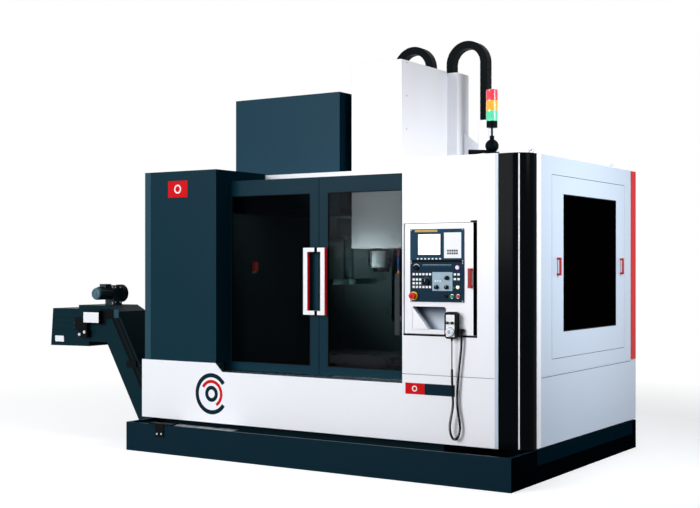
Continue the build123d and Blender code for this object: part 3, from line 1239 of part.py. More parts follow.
def hand_pendant():
    """Handheld jog unit on its holder, with a handwheel and its cord."""
    y1 = FRONT_Y - PENDANT_STAND
    y0 = y1 - PENDANT_DEPTH
    half = PENDANT_WIDTH / 2
    body = block(PENDANT_X - half, PENDANT_X + half, y0, y1, PENDANT_BOTTOM, PENDANT_TOP)
    body = fillet(body.edges().filter_by(Axis.Y), PENDANT_ROUND)
    body += block(
        PENDANT_X - 30, PENDANT_X + 30, y0 - PENDANT_PLATE, y0, WHEEL_Z - WHEEL_RADIUS - 4, PENDANT_TOP - 18
    )
    for side in (-1, 1):
        body += rod_y(PENDANT_X + side * PENDANT_DIAL_STEP, PENDANT_DIAL_Z, y0 - 13, y0, 8)
    neck = Pos(PENDANT_X, CORD_Y, PENDANT_BOTTOM - 8) * Cone(CORD_RADIUS + 1.5, 8, 16)
    body += neck
    body -= rod_y(PENDANT_X, WHEEL_Z, y0 - 2, y0 + 16, STEM_RADIUS + STEM_FIT)
    keep("pendant", body)
    face = y0 - PENDANT_PLATE - BUTTON_FIT
    wheel = rod_y(PENDANT_X, WHEEL_Z, face - WHEEL_THICK, face, WHEEL_RADIUS)
    wheel += rod_y(PENDANT_X + WHEEL_RADIUS * 0.6, WHEEL_Z, face - WHEEL_THICK - 9, face - WHEEL_THICK, 5)
    wheel += rod_y(PENDANT_X, WHEEL_Z, face, y0 + 15, STEM_RADIUS)
    keep("handwheel", wheel)


def tube_along(points, radius):
    """Round tube along straight runs joined by tangent arcs, and its bend radii."""
    path_points = [Vector(*p) for p in points]
    radii = []
    for a, b, c in zip(path_points, path_points[1:], path_points[2:]):
        before, after = b - a, c - b
        turn = math.radians(before.get_angle(after))
        radii.append(0.45 * min(before.length, after.length) / math.tan(turn / 2))
    path = FilletPolyline(*path_points, radius=radii)
    start = Plane(origin=path @ 0, z_dir=path % 0)
    tube = sweep(start * Circle(radius), path=path)
    print("bend radii", [round(r) for r in radii], "length", round(path.length), "volume share",
          round(tube.volume / (math.pi * radius**2 * path.length), 4))
    return tube


def pendant_cord():
    """Straight end at the pendant, then the curly stretch, as a fat tube, up to the gland."""
    y = CORD_Y
    straight = [(PENDANT_X, y, PENDANT_BOTTOM - 16), (PENDANT_X, y, 786), (PENDANT_X + 1, y - 1, 700)]
    keep("cord_straight", tube_along(straight, CORD_RADIUS))
    back = y + 10
    curly = [
        (PENDANT_X + 1, y - 1, 700), (1005, y - 2, 614), (1013, y - 7, 538), (1018, y - 11, 464),
        (1003, y - 11, 394), (990, y - 8, 330), (998, y - 4, 274), (1024, y, 246),
        (1049, y + 5, 274), (1058, y + 9, 332), (1046, back, 398), (1033, back + 1, 468),
        (1034, back, 546), (1041, back + 1, 626), (1049, back, 704), (1058, back + 1, 780),
        (GLAND_X, back, 850), (GLAND_X, back, GLAND_Z - GLAND_LENGTH / 2),
    ]
    keep("cord_curly", tube_along(curly, COIL_RADIUS))


def electrical_cabinet():
    """Cabinet behind the rear wall, open to the rear, with its mounting plate and devices."""
    x0, x1 = ELEC_LEFT, ELEC_RIGHT
    y0, y1 = REAR_Y, REAR_Y + ELEC_DEPTH - ELEC_DOOR
    z0, z1 = ELEC_BOTTOM, ELEC_TOP
    cabinet = block(x0, x1, y0, y1, z0, z1)
    cabinet -= block(x0 + SHEET, x1 - SHEET, y0 + SHEET, y1 + 1, z0 + SHEET, z1 - SHEET)
    plate = block(x0 + 60, x1 - 60, y0 + SHEET, y0 + 9 * SHEET, z0 + 80, z1 - 80)
    for row in range(ELEC_ROWS):
        z = z0 + 160 + row * ELEC_ROW_PITCH
        for i in range(ELEC_DEVICES - row % 2):
            x = x0 + 100 + i * ELEC_DEVICE_PITCH
            plate += block(x, x + 120, y0 + 9 * SHEET, y0 + 120, z, z + 220)
    cabinet += plate
    pin_x, pin_y = electrical_hinge()
    for low, high, pin_low, pin_high in (
        (z0, z0 + ELEC_TAB, z0, z0 + ELEC_TAB + HINGE_PIN),
        (z1 - ELEC_TAB, z1, z1 - ELEC_TAB - HINGE_PIN, z1),
    ):
        cabinet += block(x1 - ELEC_DOOR, x1, y1 - 25, pin_y + ELEC_DOOR / 2, low, high)
        cabinet += rod_z(pin_x, pin_y, pin_low, pin_high, 2 * SHEET)
    keep("electrical_cabinet", cabinet)


def electrical_hinge():
    """Plan position of the electrical door's hinge pins."""
    half = ELEC_DOOR / 2
    return ELEC_RIGHT - half, REAR_Y + ELEC_DEPTH - ELEC_DOOR + DOOR_SHOE_GAP + half


def electrical_door():
    """Pan-shaped sheet door with the main switch; its solid hinged edge is rounded about the pins."""
    pin_x, pin_y = electrical_hinge()
    half = ELEC_DOOR / 2
    z0, z1 = ELEC_BOTTOM + ELEC_TAB + BUTTON_FIT, ELEC_TOP - ELEC_TAB - BUTTON_FIT
    door = block(ELEC_LEFT, ELEC_RIGHT, pin_y - half, pin_y + half, z0, z1)
    corners = door.edges().filter_by(Axis.Z).sort_by(Axis.X)[-2:]
    door = fillet(corners, half - 0.01)
    door -= block(
        ELEC_LEFT + SHEET, ELEC_RIGHT - 2 * ELEC_DOOR, pin_y - half - 1, pin_y + half - SHEET,
        z0 + SHEET, z1 - SHEET,
    )
    for low, high in ((z0 - 1, z0 + HINGE_PIN + 1), (z1 - HINGE_PIN - 1, z1 + 1)):
        door -= rod_z(pin_x, pin_y, low, high, 2 * SHEET + STEM_FIT)
    switch_x, switch_z = ELEC_LEFT + 90, ELEC_TOP - 420
    door += rod_y(switch_x, switch_z, pin_y + half, pin_y + half + 14, 32)
    door += block(
        switch_x - 8, switch_x + 8, pin_y + half + 14, pin_y + half + 30, switch_z - 28, switch_z + 28
    )
    keep("electrical_door", door)


def coolant_pump():
    """Immersion pump standing on the tray's floor."""
    z0 = TRAY_WALL
    pump = rod_z(PUMP_X, PUMP_Y, z0, z0 + PUMP_FOOT, PUMP_RADIUS + 25)
    pump += rod_z(PUMP_X, PUMP_Y, z0 + PUMP_FOOT, z0 + PUMP_FOOT + PUMP_HEIGHT, PUMP_RADIUS)
    pump += block(
        PUMP_X - 40, PUMP_X + 40, PUMP_Y - PUMP_RADIUS - 35, PUMP_Y, z0 + PUMP_HEIGHT - 90, z0 + PUMP_HEIGHT
    )
    keep("coolant_pump", pump)


def signal_lamp():
    """Lamp stand on the right panel's top, with three stacked lenses."""
    top = PANEL_TOP + 2
    post = rod_z(LAMP_X, LAMP_Y, top, top + 12, BALL_RADIUS + 4)
    post += Pos(LAMP_X, LAMP_Y, BALL_Z) * Sphere(BALL_RADIUS)
    post += rod_z(LAMP_X, LAMP_Y, BALL_Z, BALL_Z + 63, 14)
    base_z = LENS_BASE_Z - LAMP_BASE_HEIGHT
    post += rod_z(LAMP_X, LAMP_Y, BALL_Z, base_z, LAMP_POLE_RADIUS)
    post += rod_z(LAMP_X, LAMP_Y, base_z, LENS_BASE_Z, LAMP_RADIUS - 2)
    boom_z = top + 19
    boom_end = LAMP_X - BALL_RADIUS + 14
    boom = Rot(0, 90, 0) * Cone(17, 9, boom_end - ARM_START_X)
    post += Pos((ARM_START_X + boom_end) / 2, LAMP_Y, boom_z) * boom
    keep("lamp_post", post)
    lens_top = LENS_BASE_Z + 3 * LENS_HEIGHT
    lenses = rod_z(LAMP_X, LAMP_Y, LENS_BASE_Z, lens_top, LAMP_RADIUS)
    for i in (1, 2):
        z = LENS_BASE_Z + i * LENS_HEIGHT
        ring = rod_z(LAMP_X, LAMP_Y, z - 1, z + 1, LAMP_RADIUS + 1)
        lenses -= ring - rod_z(LAMP_X, LAMP_Y, z - 2, z + 2, LAMP_RADIUS - 1.5)
    keep("lamp_lenses", lenses)


def incline_x(z, offset):
    """X of a line parallel to the conveyor's incline, at a square distance from its underside."""
    angle = math.radians(CONV_ANGLE)
    return CONV_KNEE_X - (z - CONV_FLOOR) / math.tan(angle) + offset / math.sin(angle)


def incline_z(x, offset):
    """Height of the same line above a place along X."""
    angle = math.radians(CONV_ANGLE)
    return CONV_FLOOR + (CONV_KNEE_X + offset / math.sin(angle) - x) * math.tan(angle)


def conveyor_profile(inset):
    """Side outline of the conveyor's housing, drawn in by an inset."""
    s = inset
    low, high = CONV_FLOOR + s, CONV_FLOOR + CONV_DEEP - s
    shoulder = CONV_TOP - 45
    return [
        (CONV_END_X - s, low),
        (incline_x(low, s), low),
        (incline_x(CONV_BODY_Z + s, s), CONV_BODY_Z + s),
        (CONV_NOSE_STEP_X - s, CONV_BODY_Z + s),
        (CONV_NOSE_STEP_X - s, CONV_NOSE_BOTTOM + 6 + s),
        (CONV_NOSE_X + s, CONV_NOSE_BOTTOM + s),
        (CONV_NOSE_X + 24 + s, CONV_NOSE_TOP - s),
        (CONV_RAISED_X + s, CONV_NOSE_TOP - s),
        (CONV_RAISED_X + s, CONV_TOP - s),
        (CONV_RAISED_END - s / 2, CONV_TOP - s),
        (incline_x(shoulder, CONV_DEEP - s), shoulder),
        (incline_x(high, CONV_DEEP - s), high),
        (CONV_END_X - s, high),
    ]


def belt_outline(inset):
    """Closed outline of the belt loop, drawn in by an inset."""
    s = inset
    turn = SPROCKET_RADIUS + 1 + BELT_THICK
    low = CONV_FLOOR + CONV_SHEET
    bottom, top = CONV_SHAFT_Z - turn, CONV_SHAFT_Z + turn
    tail = CONV_END_X - 5 * CONV_SHEET
    nose = CONV_SHAFT_X - turn
    under, over = CONV_SHEET + s, CONV_SHEET + 2 * turn - s
    points = [
        (tail - s, low + s),
        (incline_x(low + s, under), low + s),
        (incline_x(bottom + s, under), bottom + s),
        (nose + s, bottom + s),
        (nose + s, top - s),
        (incline_x(top - s, over), top - s),
        (incline_x(low + 2 * turn - s, over), low + 2 * turn - s),
        (tail - s, low + 2 * turn - s),
    ]
    end = turn - s - 0.02
    wide, tight = BELT_BEND - s, BELT_BEND - 2 * turn + s
    radii = [end, wide, tight, end, end, wide, tight, end]
    return FilletPolyline(*[(x, 0, z) for x, z in points], radius=radii, close=True)


def chip_conveyor():
    """Hinged-belt conveyor: trough in the tray, incline and discharge head with its drive."""
    y0, y1 = CONV_FRONT, CONV_FRONT + CONV_WIDTH
    s = CONV_SHEET
    housing = prism_y(conveyor_profile(0), y0, y1) - prism_y(conveyor_profile(s), y0 + s, y1 - s)
    top = CONV_FLOOR + CONV_DEEP
    housing -= block(CONV_OPEN_X, CONV_END_X - 5 * s, y0 + 3 * s, y1 - 3 * s, top - s - 1, top + 1)
    housing -= block(
        CONV_NOSE_X + 20, CONV_SHAFT_X - SPROCKET_RADIUS - 35, y0 + 3 * s, y1 - 3 * s,
        CONV_NOSE_BOTTOM - 1, CONV_NOSE_BOTTOM + 3 * s,
    )
    bore = CONV_SHAFT_RADIUS + STEM_FIT
    housing += rod_y(CONV_SHAFT_X, CONV_SHAFT_Z, y0, y0 + s + 12, CONV_SHAFT_RADIUS + 18)
    housing += rod_y(CONV_SHAFT_X, CONV_SHAFT_Z, y1 - s - 12, y1, CONV_SHAFT_RADIUS + 18)
    housing -= rod_y(CONV_SHAFT_X, CONV_SHAFT_Z, y0 - 1, y1 + 1, bore)
    housing += block(CONV_BOX_LEFT, CONV_BOX_RIGHT, y0 - CONV_BOX_DEPTH, y0, CONV_BOX_LOW, CONV_BOX_HIGH)
    for x in (CONV_OPEN_X - 250, CONV_END_X - 160):
        housing += block(x - 40, x + 40, y0 + 10, y1 - 10, TRAY_WALL, CONV_FLOOR)
    keep("conveyor_housing", housing)

    belt_y0, belt_y1 = y0 + 6 * s, y1 - 6 * s
    outer = extrude(make_face(belt_outline(0)), amount=belt_y1 - belt_y0, dir=(0, 1, 0))
    inner = extrude(make_face(belt_outline(BELT_THICK)), amount=belt_y1 - belt_y0, dir=(0, 1, 0))
    keep("conveyor_belt", Pos(0, belt_y0, 0) * (outer - inner))

    drive = rod_y(CONV_SHAFT_X, CONV_SHAFT_Z, y0 - 8, y1 + 8, CONV_SHAFT_RADIUS)
    for y in (belt_y0 + 40, belt_y1 - 70):
        drive += rod_y(CONV_SHAFT_X, CONV_SHAFT_Z, y, y + 30, SPROCKET_RADIUS)
    keep("conveyor_drive", drive)

    motor = rod_y(GEAR_MOTOR_X, GEAR_MOTOR_Z, y0, y0 + 140, GEAR_MOTOR_RADIUS)
    motor += block(
        GEAR_MOTOR_X - 48, GEAR_MOTOR_X + 47, y0 + 140, y0 + 230, CONV_TOP, GEAR_MOTOR_Z + 65
    )
    motor += rod_y(GEAR_MOTOR_X, GEAR_MOTOR_Z, y0 + 230, y0 + 280, GEAR_DISC_RADIUS)
    keep("conveyor_motor", motor)


coolant_tray()
machine_bed()
leveling_feet()
machine_column()
guide_rails()
feed_screws()
feed_motors()
saddle()
work_table()
spindle_head()
head_cover()
cable_chains()
chain_ducts()
tool_magazine()
left_cabinet()
lower_front_panel()
door_guides()
splash_liner()
roof_panel()
right_front_panel()
corner_column()
side_panel()
side_hatch()
rear_panel()
doors()
operator_box()
control_unit()
key_panel()
hand_pendant()
pendant_cord()
electrical_cabinet()
electrical_door()
coolant_pump()
signal_lamp()
chip_conveyor()

os.makedirs("parts", exist_ok=True)
for name, shape in PART.items():
    export_step(shape, "parts/" + name + ".step")
print(len(PART), "parts")
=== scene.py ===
# Looks of the vertical machining center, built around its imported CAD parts.
# Lengths are millimetres in the part's frame, and metres for the lamps, the floor and the camera.
import math

import bpy
from mathutils import Matrix, Vector


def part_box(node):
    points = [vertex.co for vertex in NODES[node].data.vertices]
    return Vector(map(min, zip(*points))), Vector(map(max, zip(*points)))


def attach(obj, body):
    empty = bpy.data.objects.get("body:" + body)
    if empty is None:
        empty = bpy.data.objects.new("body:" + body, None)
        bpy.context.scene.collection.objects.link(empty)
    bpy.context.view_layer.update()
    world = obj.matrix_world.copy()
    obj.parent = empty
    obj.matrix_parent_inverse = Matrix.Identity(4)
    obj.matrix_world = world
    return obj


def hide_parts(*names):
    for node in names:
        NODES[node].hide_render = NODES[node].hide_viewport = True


MM = 0.001
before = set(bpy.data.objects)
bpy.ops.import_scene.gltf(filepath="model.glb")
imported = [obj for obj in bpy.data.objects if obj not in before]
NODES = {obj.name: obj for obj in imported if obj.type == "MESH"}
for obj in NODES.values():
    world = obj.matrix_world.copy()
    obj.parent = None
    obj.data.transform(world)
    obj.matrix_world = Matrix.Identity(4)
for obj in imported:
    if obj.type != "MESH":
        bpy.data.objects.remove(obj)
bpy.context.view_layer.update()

# Planes of the enclosure, the controls and the conveyor
FRONT = -827.0
SIDE = 1509.0
UNIT_FACE = -835.0
DOOR_FACE = -665.0
LEFT_WALL = -1605.0
LINER_FACE = 745.0
PANEL_FOOT = 213.0
PANEL_TOP = 2035.0
TRAY_TOP = 205.0
TRAY_FRONT = -1070.0
TRAY_SIDE = 1510.0
CONV_FACE = -700.0
CABINET_SKIN = 1368.6

# Places that several pieces share
HEAD_FOOT = 1472.0
SPINDLE = (-165.0, 219.0)
NOZZLE = (20.0, 160.0)
CONV_MOTOR = (-2227.0, 1120.0)
EMBLEM = (-965.0, 421.0)
BADGE = (-1283.0, 1902.0)
NAME_RING = (716.0, 553.0)

# Places on the controls
GRIP_LEFT = 1108.0
BOX_SIDE = 1136.0
SHELF = (700.0, 945.0, 935.0, 1082.0)
ESTOP = (715.0, 1149.0)
ESTOP_CAP = -869.0
KEY_LOCK = (733.0, 1330.0)
POWER_LIGHT = (1029.0, 1331.0)
LIGHT_BUTTON = (1034.0, 1207.0)
MODE_DIAL = (806.0, 1240.0)
RAPID_DIAL = (955.0, 1206.0)
FEED_DIAL = (882.0, 1206.0)
SPEED_DIAL = (957.0, 1265.0)
START_X = 992.0
STOP_X = 1034.0
START_Z = 1149.5

# Thicknesses of what lies on a surface, and the last angle of a ring that closes
PLATE = 2.0
PRINT = 0.8
LABEL = 1.2
FULL_TURN = 359.9

# Grain sizes of cast iron, paint and moulded plastic
COARSE = 120.0
MEDIUM = 300.0
FINE = 900.0

# Directions in which round pieces point
TO_FRONT = (0, -1, 0)
TO_REAR = (0, 1, 0)
TO_RIGHT = (1, 0, 0)
UP = (0, 0, 1)
DOWN = (0, 0, -1)

# Outline of a socket screw's head, as (radius, height) points
SCREW_HEAD = [(7, 0), (7, 3), (5.5, 4), (3, 4), (3, 1.5)]

# Corners of a box's six faces
BOX_FACES = ((0, 1, 3, 2), (4, 6, 7, 5), (0, 4, 5, 1), (2, 3, 7, 6), (0, 2, 6, 4), (1, 5, 7, 3))

# Sockets of a colour Mix node
MIX_SHARE, MIX_FIRST, MIX_SECOND, MIX_RESULT = 0, 6, 7, 2


def edges(name):
    """Lowest and highest corners of a CAD node, in millimetres."""
    low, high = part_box(name)
    return [c / MM for c in low], [c / MM for c in high]


def srgb(red, green, blue):
    """Linear colour from display values between 0 and 255."""
    values = []
    for v in (red, green, blue):
        c = v / 255
        values.append(c / 12.92 if c <= 0.04045 else ((c + 0.055) / 1.055) ** 2.4)
    return (*values, 1.0)


def scaled(color, share):
    """A colour made lighter or darker by a share."""
    return (*[min(1.0, c * share) for c in color[:3]], 1.0)


def color_mix(tree, first, second, share):
    """Colour output that runs from one colour to another with a share between 0 and 1."""
    mix = tree.nodes.new("ShaderNodeMix")
    mix.data_type = "RGBA"
    mix.inputs[MIX_FIRST].default_value = first
    mix.inputs[MIX_SECOND].default_value = second
    tree.links.new(share, mix.inputs[MIX_SHARE])
    return mix.outputs[MIX_RESULT]


def noise(tree, place, scale, detail):
    """Noise output over the object's own coordinates."""
    texture = tree.nodes.new("ShaderNodeTexNoise")
    texture.inputs["Scale"].default_value = scale
    texture.inputs["Detail"].default_value = detail
    tree.links.new(place.outputs["Object"], texture.inputs["Vector"])
    return texture.outputs["Fac"]


def material(name, color, rough=0.4, metallic=0.0, coat=0.0, gloss=0.5, grain=0.0,
             grain_scale=MEDIUM, round_mm=0.0, cloud=0.05, cloud_scale=1.6):
    """Painted or bare surface: clouded colour and roughness, fine grain and rounded edges."""
    m = bpy.data.materials.new(name)
    m.use_nodes = True
    tree = m.node_tree
    nodes, links = tree.nodes, tree.links
    shader = nodes["Principled BSDF"]
    shader.inputs["Metallic"].default_value = metallic
    shader.inputs["Coat Weight"].default_value = coat
    shader.inputs["Coat Roughness"].default_value = 0.12
    shader.inputs["Specular IOR Level"].default_value = gloss
    place = nodes.new("ShaderNodeTexCoord")
    patches = noise(tree, place, cloud_scale, 4.0)
    tones = color_mix(tree, scaled(color, 1 - cloud), scaled(color, 1 + cloud), patches)
    links.new(tones, shader.inputs["Base Color"])
    rough_range = nodes.new("ShaderNodeMapRange")
    rough_range.inputs["To Min"].default_value = rough * 0.85
    rough_range.inputs["To Max"].default_value = min(1.0, rough * 1.15)
    links.new(patches, rough_range.inputs["Value"])
    links.new(rough_range.outputs["Result"], shader.inputs["Roughness"])
    normal = None
    if round_mm:
        rounding = nodes.new("ShaderNodeBevel")
        rounding.samples = 4
        rounding.inputs["Radius"].default_value = round_mm * MM
        normal = rounding.outputs["Normal"]
    if grain:
        bump = nodes.new("ShaderNodeBump")
        bump.inputs["Strength"].default_value = grain
        bump.inputs["Distance"].default_value = 0.0006
        links.new(noise(tree, place, grain_scale, 3.0), bump.inputs["Height"])
        if normal:
            links.new(normal, bump.inputs["Normal"])
        normal = bump.outputs["Normal"]
    if normal:
        links.new(normal, shader.inputs["Normal"])
    return m


def paint(name, color, rough=0.4, gloss=0.05, grain=0.15, round_mm=2.0):
    """Dark machine paint, which mirrors little."""
    return material(name, color, rough, gloss=gloss, grain=grain, round_mm=round_mm)


def pale_paint(name, color, cloud):
    """Light machine paint with a thin clear coat."""
    return material(name, color, 0.34, coat=0.15, grain=0.12, round_mm=2.0, cloud=cloud)


def casting(name, color, gloss):
    """Coarse painted cast iron."""
    return material(name, color, 0.5, gloss=gloss, grain=0.5, grain_scale=COARSE, round_mm=4.0)


def moulded(name, color, rough, gloss, grain):
    """Plastic or powder paint with a fine grain."""
    return material(name, color, rough, gloss=gloss, grain=grain, grain_scale=FINE, round_mm=1.0)


def metal(name, color, rough, round_mm, cloud, cloud_scale):
    """Bare metal with patches of wear."""
    return material(name, color, rough, metallic=1.0, round_mm=round_mm, cloud=cloud,
                    cloud_scale=cloud_scale)


def glowing(name, color, strength, rough=0.25):
    """Coloured lens material lit from inside; also the painted glow of the wash gun and the inner
    strip.
    """
    m = material(name, color, rough, coat=0.8, cloud=0.02)
    shader = m.node_tree.nodes["Principled BSDF"]
    shader.inputs["Emission Color"].default_value = color
    shader.inputs["Emission Strength"].default_value = strength
    return m


def pane(name, color, cover, gloss):
    """Smoked clear sheet: cover is the share of light that it stops."""
    m = material(name, color, 0.04, gloss=gloss, cloud=0.02)
    m.node_tree.nodes["Principled BSDF"].inputs["Alpha"].default_value = cover
    return m


def shaded_paint(name, dark, light, z_dark, z_light):
    """Paint that turns from a dark to a light colour between two heights in millimetres."""
    m = material(name, light, 0.5, gloss=0.2)
    tree = m.node_tree
    nodes, links = tree.nodes, tree.links
    place = nodes.new("ShaderNodeTexCoord")
    split = nodes.new("ShaderNodeSeparateXYZ")
    links.new(place.outputs["Object"], split.inputs["Vector"])
    height = nodes.new("ShaderNodeMapRange")
    height.interpolation_type = "SMOOTHSTEP"
    height.inputs["From Min"].default_value = z_dark * MM
    height.inputs["From Max"].default_value = z_light * MM
    links.new(split.outputs["Z"], height.inputs["Value"])
    tones = color_mix(tree, dark, light, height.outputs["Result"])
    links.new(tones, nodes["Principled BSDF"].inputs["Base Color"])
    return m


# Paints of the enclosure, from dark to pale; the navy and teal shade copies are painted shade for
# faces turned away from the light
NAVY = paint("navy_paint", srgb(4, 33, 45), 0.42, 0.04, round_mm=2.5)
NAVY_SHADE = paint("navy_paint_shaded_side", srgb(1, 5, 8), 0.42, 0.0, round_mm=2.5)
TEAL = paint("teal_paint", srgb(9, 44, 57))
# Lighter teal: painted highlight along the cabinet's front bend, also the colour of the conveyor's
# cheek block
TEAL_LIGHT = paint("teal_paint_lightened", srgb(36, 70, 84), gloss=0.08)
TEAL_SHADE = paint("teal_paint_painted_shade_side", srgb(3, 24, 34), gloss=0.0)
BOX_TEAL = paint("box_paint", srgb(30, 62, 78))
CONV_TEAL = paint("conveyor_paint", srgb(6, 36, 44), 0.42, 0.04, grain=0.2)
BLACK = paint("black_paint", srgb(3, 6, 9), 0.16, 0.02, grain=0.0)
LINER = paint("liner_paint", srgb(66, 86, 88), 0.5, 0.06, grain=0.2, round_mm=1.5)
MOTOR = paint("motor_paint", srgb(22, 44, 54), gloss=0.3, grain=0.3, round_mm=1.5)
MOTOR_CAP = paint("motor_cap_paint", srgb(58, 96, 110), 0.38, 0.4, grain=0.2, round_mm=1.0)
WHITE = pale_paint("white_paint", srgb(238, 240, 246), 0.015)
ICE = pale_paint("pale_blue_paint", srgb(184, 201, 221), 0.02)
# Recess under the key panel: painted shade, dark at the top and light towards the bottom
RECESS_SHADE = shaded_paint("recess_painted_shade", srgb(34, 58, 82), srgb(206, 216, 228), 1090, 950)
RED_PAINT = material("red_paint", srgb(204, 2, 12), 0.38, gloss=0.08, cloud=0.03)

# Metals and castings
CASTING = casting("casting_paint", srgb(150, 158, 160), 0.5)
GEAR_CASTING = casting("gearbox_paint", srgb(50, 66, 68), 0.1)
DARK_CASTING = casting("dark_casting", srgb(10, 19, 23), 0.08)
STEEL = metal("ground_steel", srgb(196, 198, 202), 0.28, 0.8, 0.08, 12.0)
DARK_STEEL = metal("worn_steel", srgb(110, 112, 116), 0.42, 1.0, 0.12, 9.0)
BRASS_BROWN = material("fitting_brown", srgb(136, 78, 62), 0.45, gloss=0.4)

# Plastics, rubber and small hardware
PLASTIC = moulded("black_plastic", srgb(6, 10, 15), 0.5, 0.06, 0.3)
CHAIN = paint("chain_plastic", srgb(3, 10, 14), 0.42, 0.03, grain=0.2, round_mm=1.0)
UNIT_BLUE = moulded("control_unit_paint", srgb(22, 60, 84), 0.42, 0.05, 0.25)
UNIT_DARK = moulded("key_panel_paint", srgb(16, 44, 62), 0.45, 0.04, 0.25)
FIELD = material("dial_field_paint", srgb(150, 176, 194), 0.45, gloss=0.3, cloud=0.03,
                 cloud_scale=20.0)
KEY_GREY = material("key_grey", srgb(206, 211, 216), 0.4, round_mm=0.8, cloud=0.03)
KEY_DARK = material("key_dark", srgb(34, 40, 46), 0.45, gloss=0.3, round_mm=0.8)
KEY_WHITE = material("key_white", srgb(236, 238, 242), 0.35, round_mm=0.8, cloud=0.02)
RUBBER = material("cord_rubber", srgb(4, 9, 20), 0.5, gloss=0.08)
SEAL = material("seal_rubber", srgb(4, 8, 11), 0.6, gloss=0.05, grain=0.2)
SEAM = material("panel_seam", srgb(86, 104, 120), 0.6, gloss=0.1)
RED = material("red_plastic", srgb(190, 8, 18), 0.35, gloss=0.3, round_mm=1.0)
RED_GRIP = material("red_grip", srgb(150, 4, 8), 0.4, gloss=0.2, round_mm=1.0)
RED_SIDE = material("red_bright_side", srgb(255, 24, 36), 0.4, gloss=0.2, round_mm=1.0)
GREEN = material("green_plastic", srgb(16, 128, 66), 0.35, gloss=0.3, round_mm=0.8)
YELLOW = material("yellow_plastic", srgb(228, 180, 30), 0.4, gloss=0.3, round_mm=0.8)
GOLD = material("gold_stripe", srgb(190, 158, 66), 0.45, gloss=0.3)
HOSE_BLUE = material("hose_blue", srgb(30, 66, 128), 0.4, gloss=0.4)
HOSE_ORANGE = material("hose_orange", srgb(206, 128, 70), 0.4, gloss=0.4)
SCREEN_MARK = material("screen_marks", srgb(206, 212, 222), 0.3, cloud=0.02)

# Lit parts, and painted light on the wash gun and the inner strip
LILAC = glowing("lilac_light", srgb(214, 168, 222), 0.25)
CREAM = glowing("cream_light", srgb(240, 238, 200), 0.3)
PAINTED_LIGHT_STRIP = glowing("inner_strip_painted_light", srgb(150, 166, 170), 0.7, 0.4)
# The wash gun's red glows as painted light, though the gun is no lamp
GUN_RED_GLOW = glowing("wash_gun_red_painted_glow", srgb(222, 66, 50), 0.35, 0.4)
SCREEN = glowing("screen_glow", srgb(236, 238, 240), 0.4, 0.15)
SCREEN_TINT = glowing("screen_tint", srgb(222, 226, 238), 0.4, 0.3)
LENS_RED = glowing("lens_red", srgb(226, 22, 56), 0.35)
LENS_AMBER = glowing("lens_amber", srgb(246, 160, 6), 0.4)
LENS_GREEN = glowing("lens_green", srgb(64, 200, 150), 0.4)

# Glass
DOOR_GLASS = pane("door_glass", srgb(1, 2, 4), 0.62, 0.015)
HATCH_GLASS = pane("hatch_glass", srgb(1, 1, 1), 0.98, 0.0)


def finish_node(name, *choices):
    """Gives a CAD node its materials, each with a test of a face's centre and normal."""
    node = NODES[name]
    node.data.materials.clear()
    for m, _ in choices:
        node.data.materials.append(m)
    for face in node.data.polygons:
        centre = face.center / MM
        index = 0
        for i, (_, test) in enumerate(choices):
            if test is None or test(centre, face.normal):
                index = i
                break
        face.material_index = index


def plain(mat, *names):
    """Gives whole CAD nodes one material."""
    for name in names:
        finish_node(name, (mat, None))


def add_object(name, data):
    """Object in the scene for a mesh, curve, lamp or camera."""
    obj = bpy.data.objects.new(name, data)
    bpy.context.scene.collection.objects.link(obj)
    return obj


def place_piece(obj, mat, body):
    """Gives a piece its material and the CAD body it moves with."""
    obj.data.materials.clear()
    obj.data.materials.append(mat)
    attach(obj, body)
    return obj


def mesh_piece(name, points, faces, mat, body):
    """Mesh piece from points in millimetres."""
    mesh = bpy.data.meshes.new(name)
    mesh.from_pydata([[c * MM for c in p] for p in points], [], faces)
    mesh.update()
    return place_piece(add_object(name, mesh), mat, body)


def soften(obj, width):
    """Rounded edges on a piece."""
    bevel = obj.modifiers.new("soft_edges", "BEVEL")
    bevel.width = width * MM
    bevel.segments = 2
    bevel.limit_method = "ANGLE"
    return obj


def blocks(name, boxes, mat, body="frame", edge=0.0):
    """Boxes in one mesh: two corners each, some with a turn in degrees in the front's plane."""
    points, faces = [], []
    for box in boxes:
        x0, x1, y0, y1, z0, z1 = box[:6]
        turn = math.radians(box[6]) if len(box) > 6 else 0.0
        middle_x, middle_z = (x0 + x1) / 2, (z0 + z1) / 2
        first = len(points)
        for x in (x0, x1):
            for y in (y0, y1):
                for z in (z0, z1):
                    dx, dz = x - middle_x, z - middle_z
                    points.append((
                        middle_x + dx * math.cos(turn) - dz * math.sin(turn), y,
                        middle_z + dx * math.sin(turn) + dz * math.cos(turn),
                    ))
        for face in BOX_FACES:
            faces.append(tuple(first + i for i in face))
    obj = mesh_piece(name, points, faces, mat, body)
    return soften(obj, edge) if edge else obj


def slab(name, x0, x1, y0, y1, z0, z1, mat, body="frame", edge=0.0):
    """Box between two corners."""
    return blocks(name, [(x0, x1, y0, y1, z0, z1)], mat, body, edge)


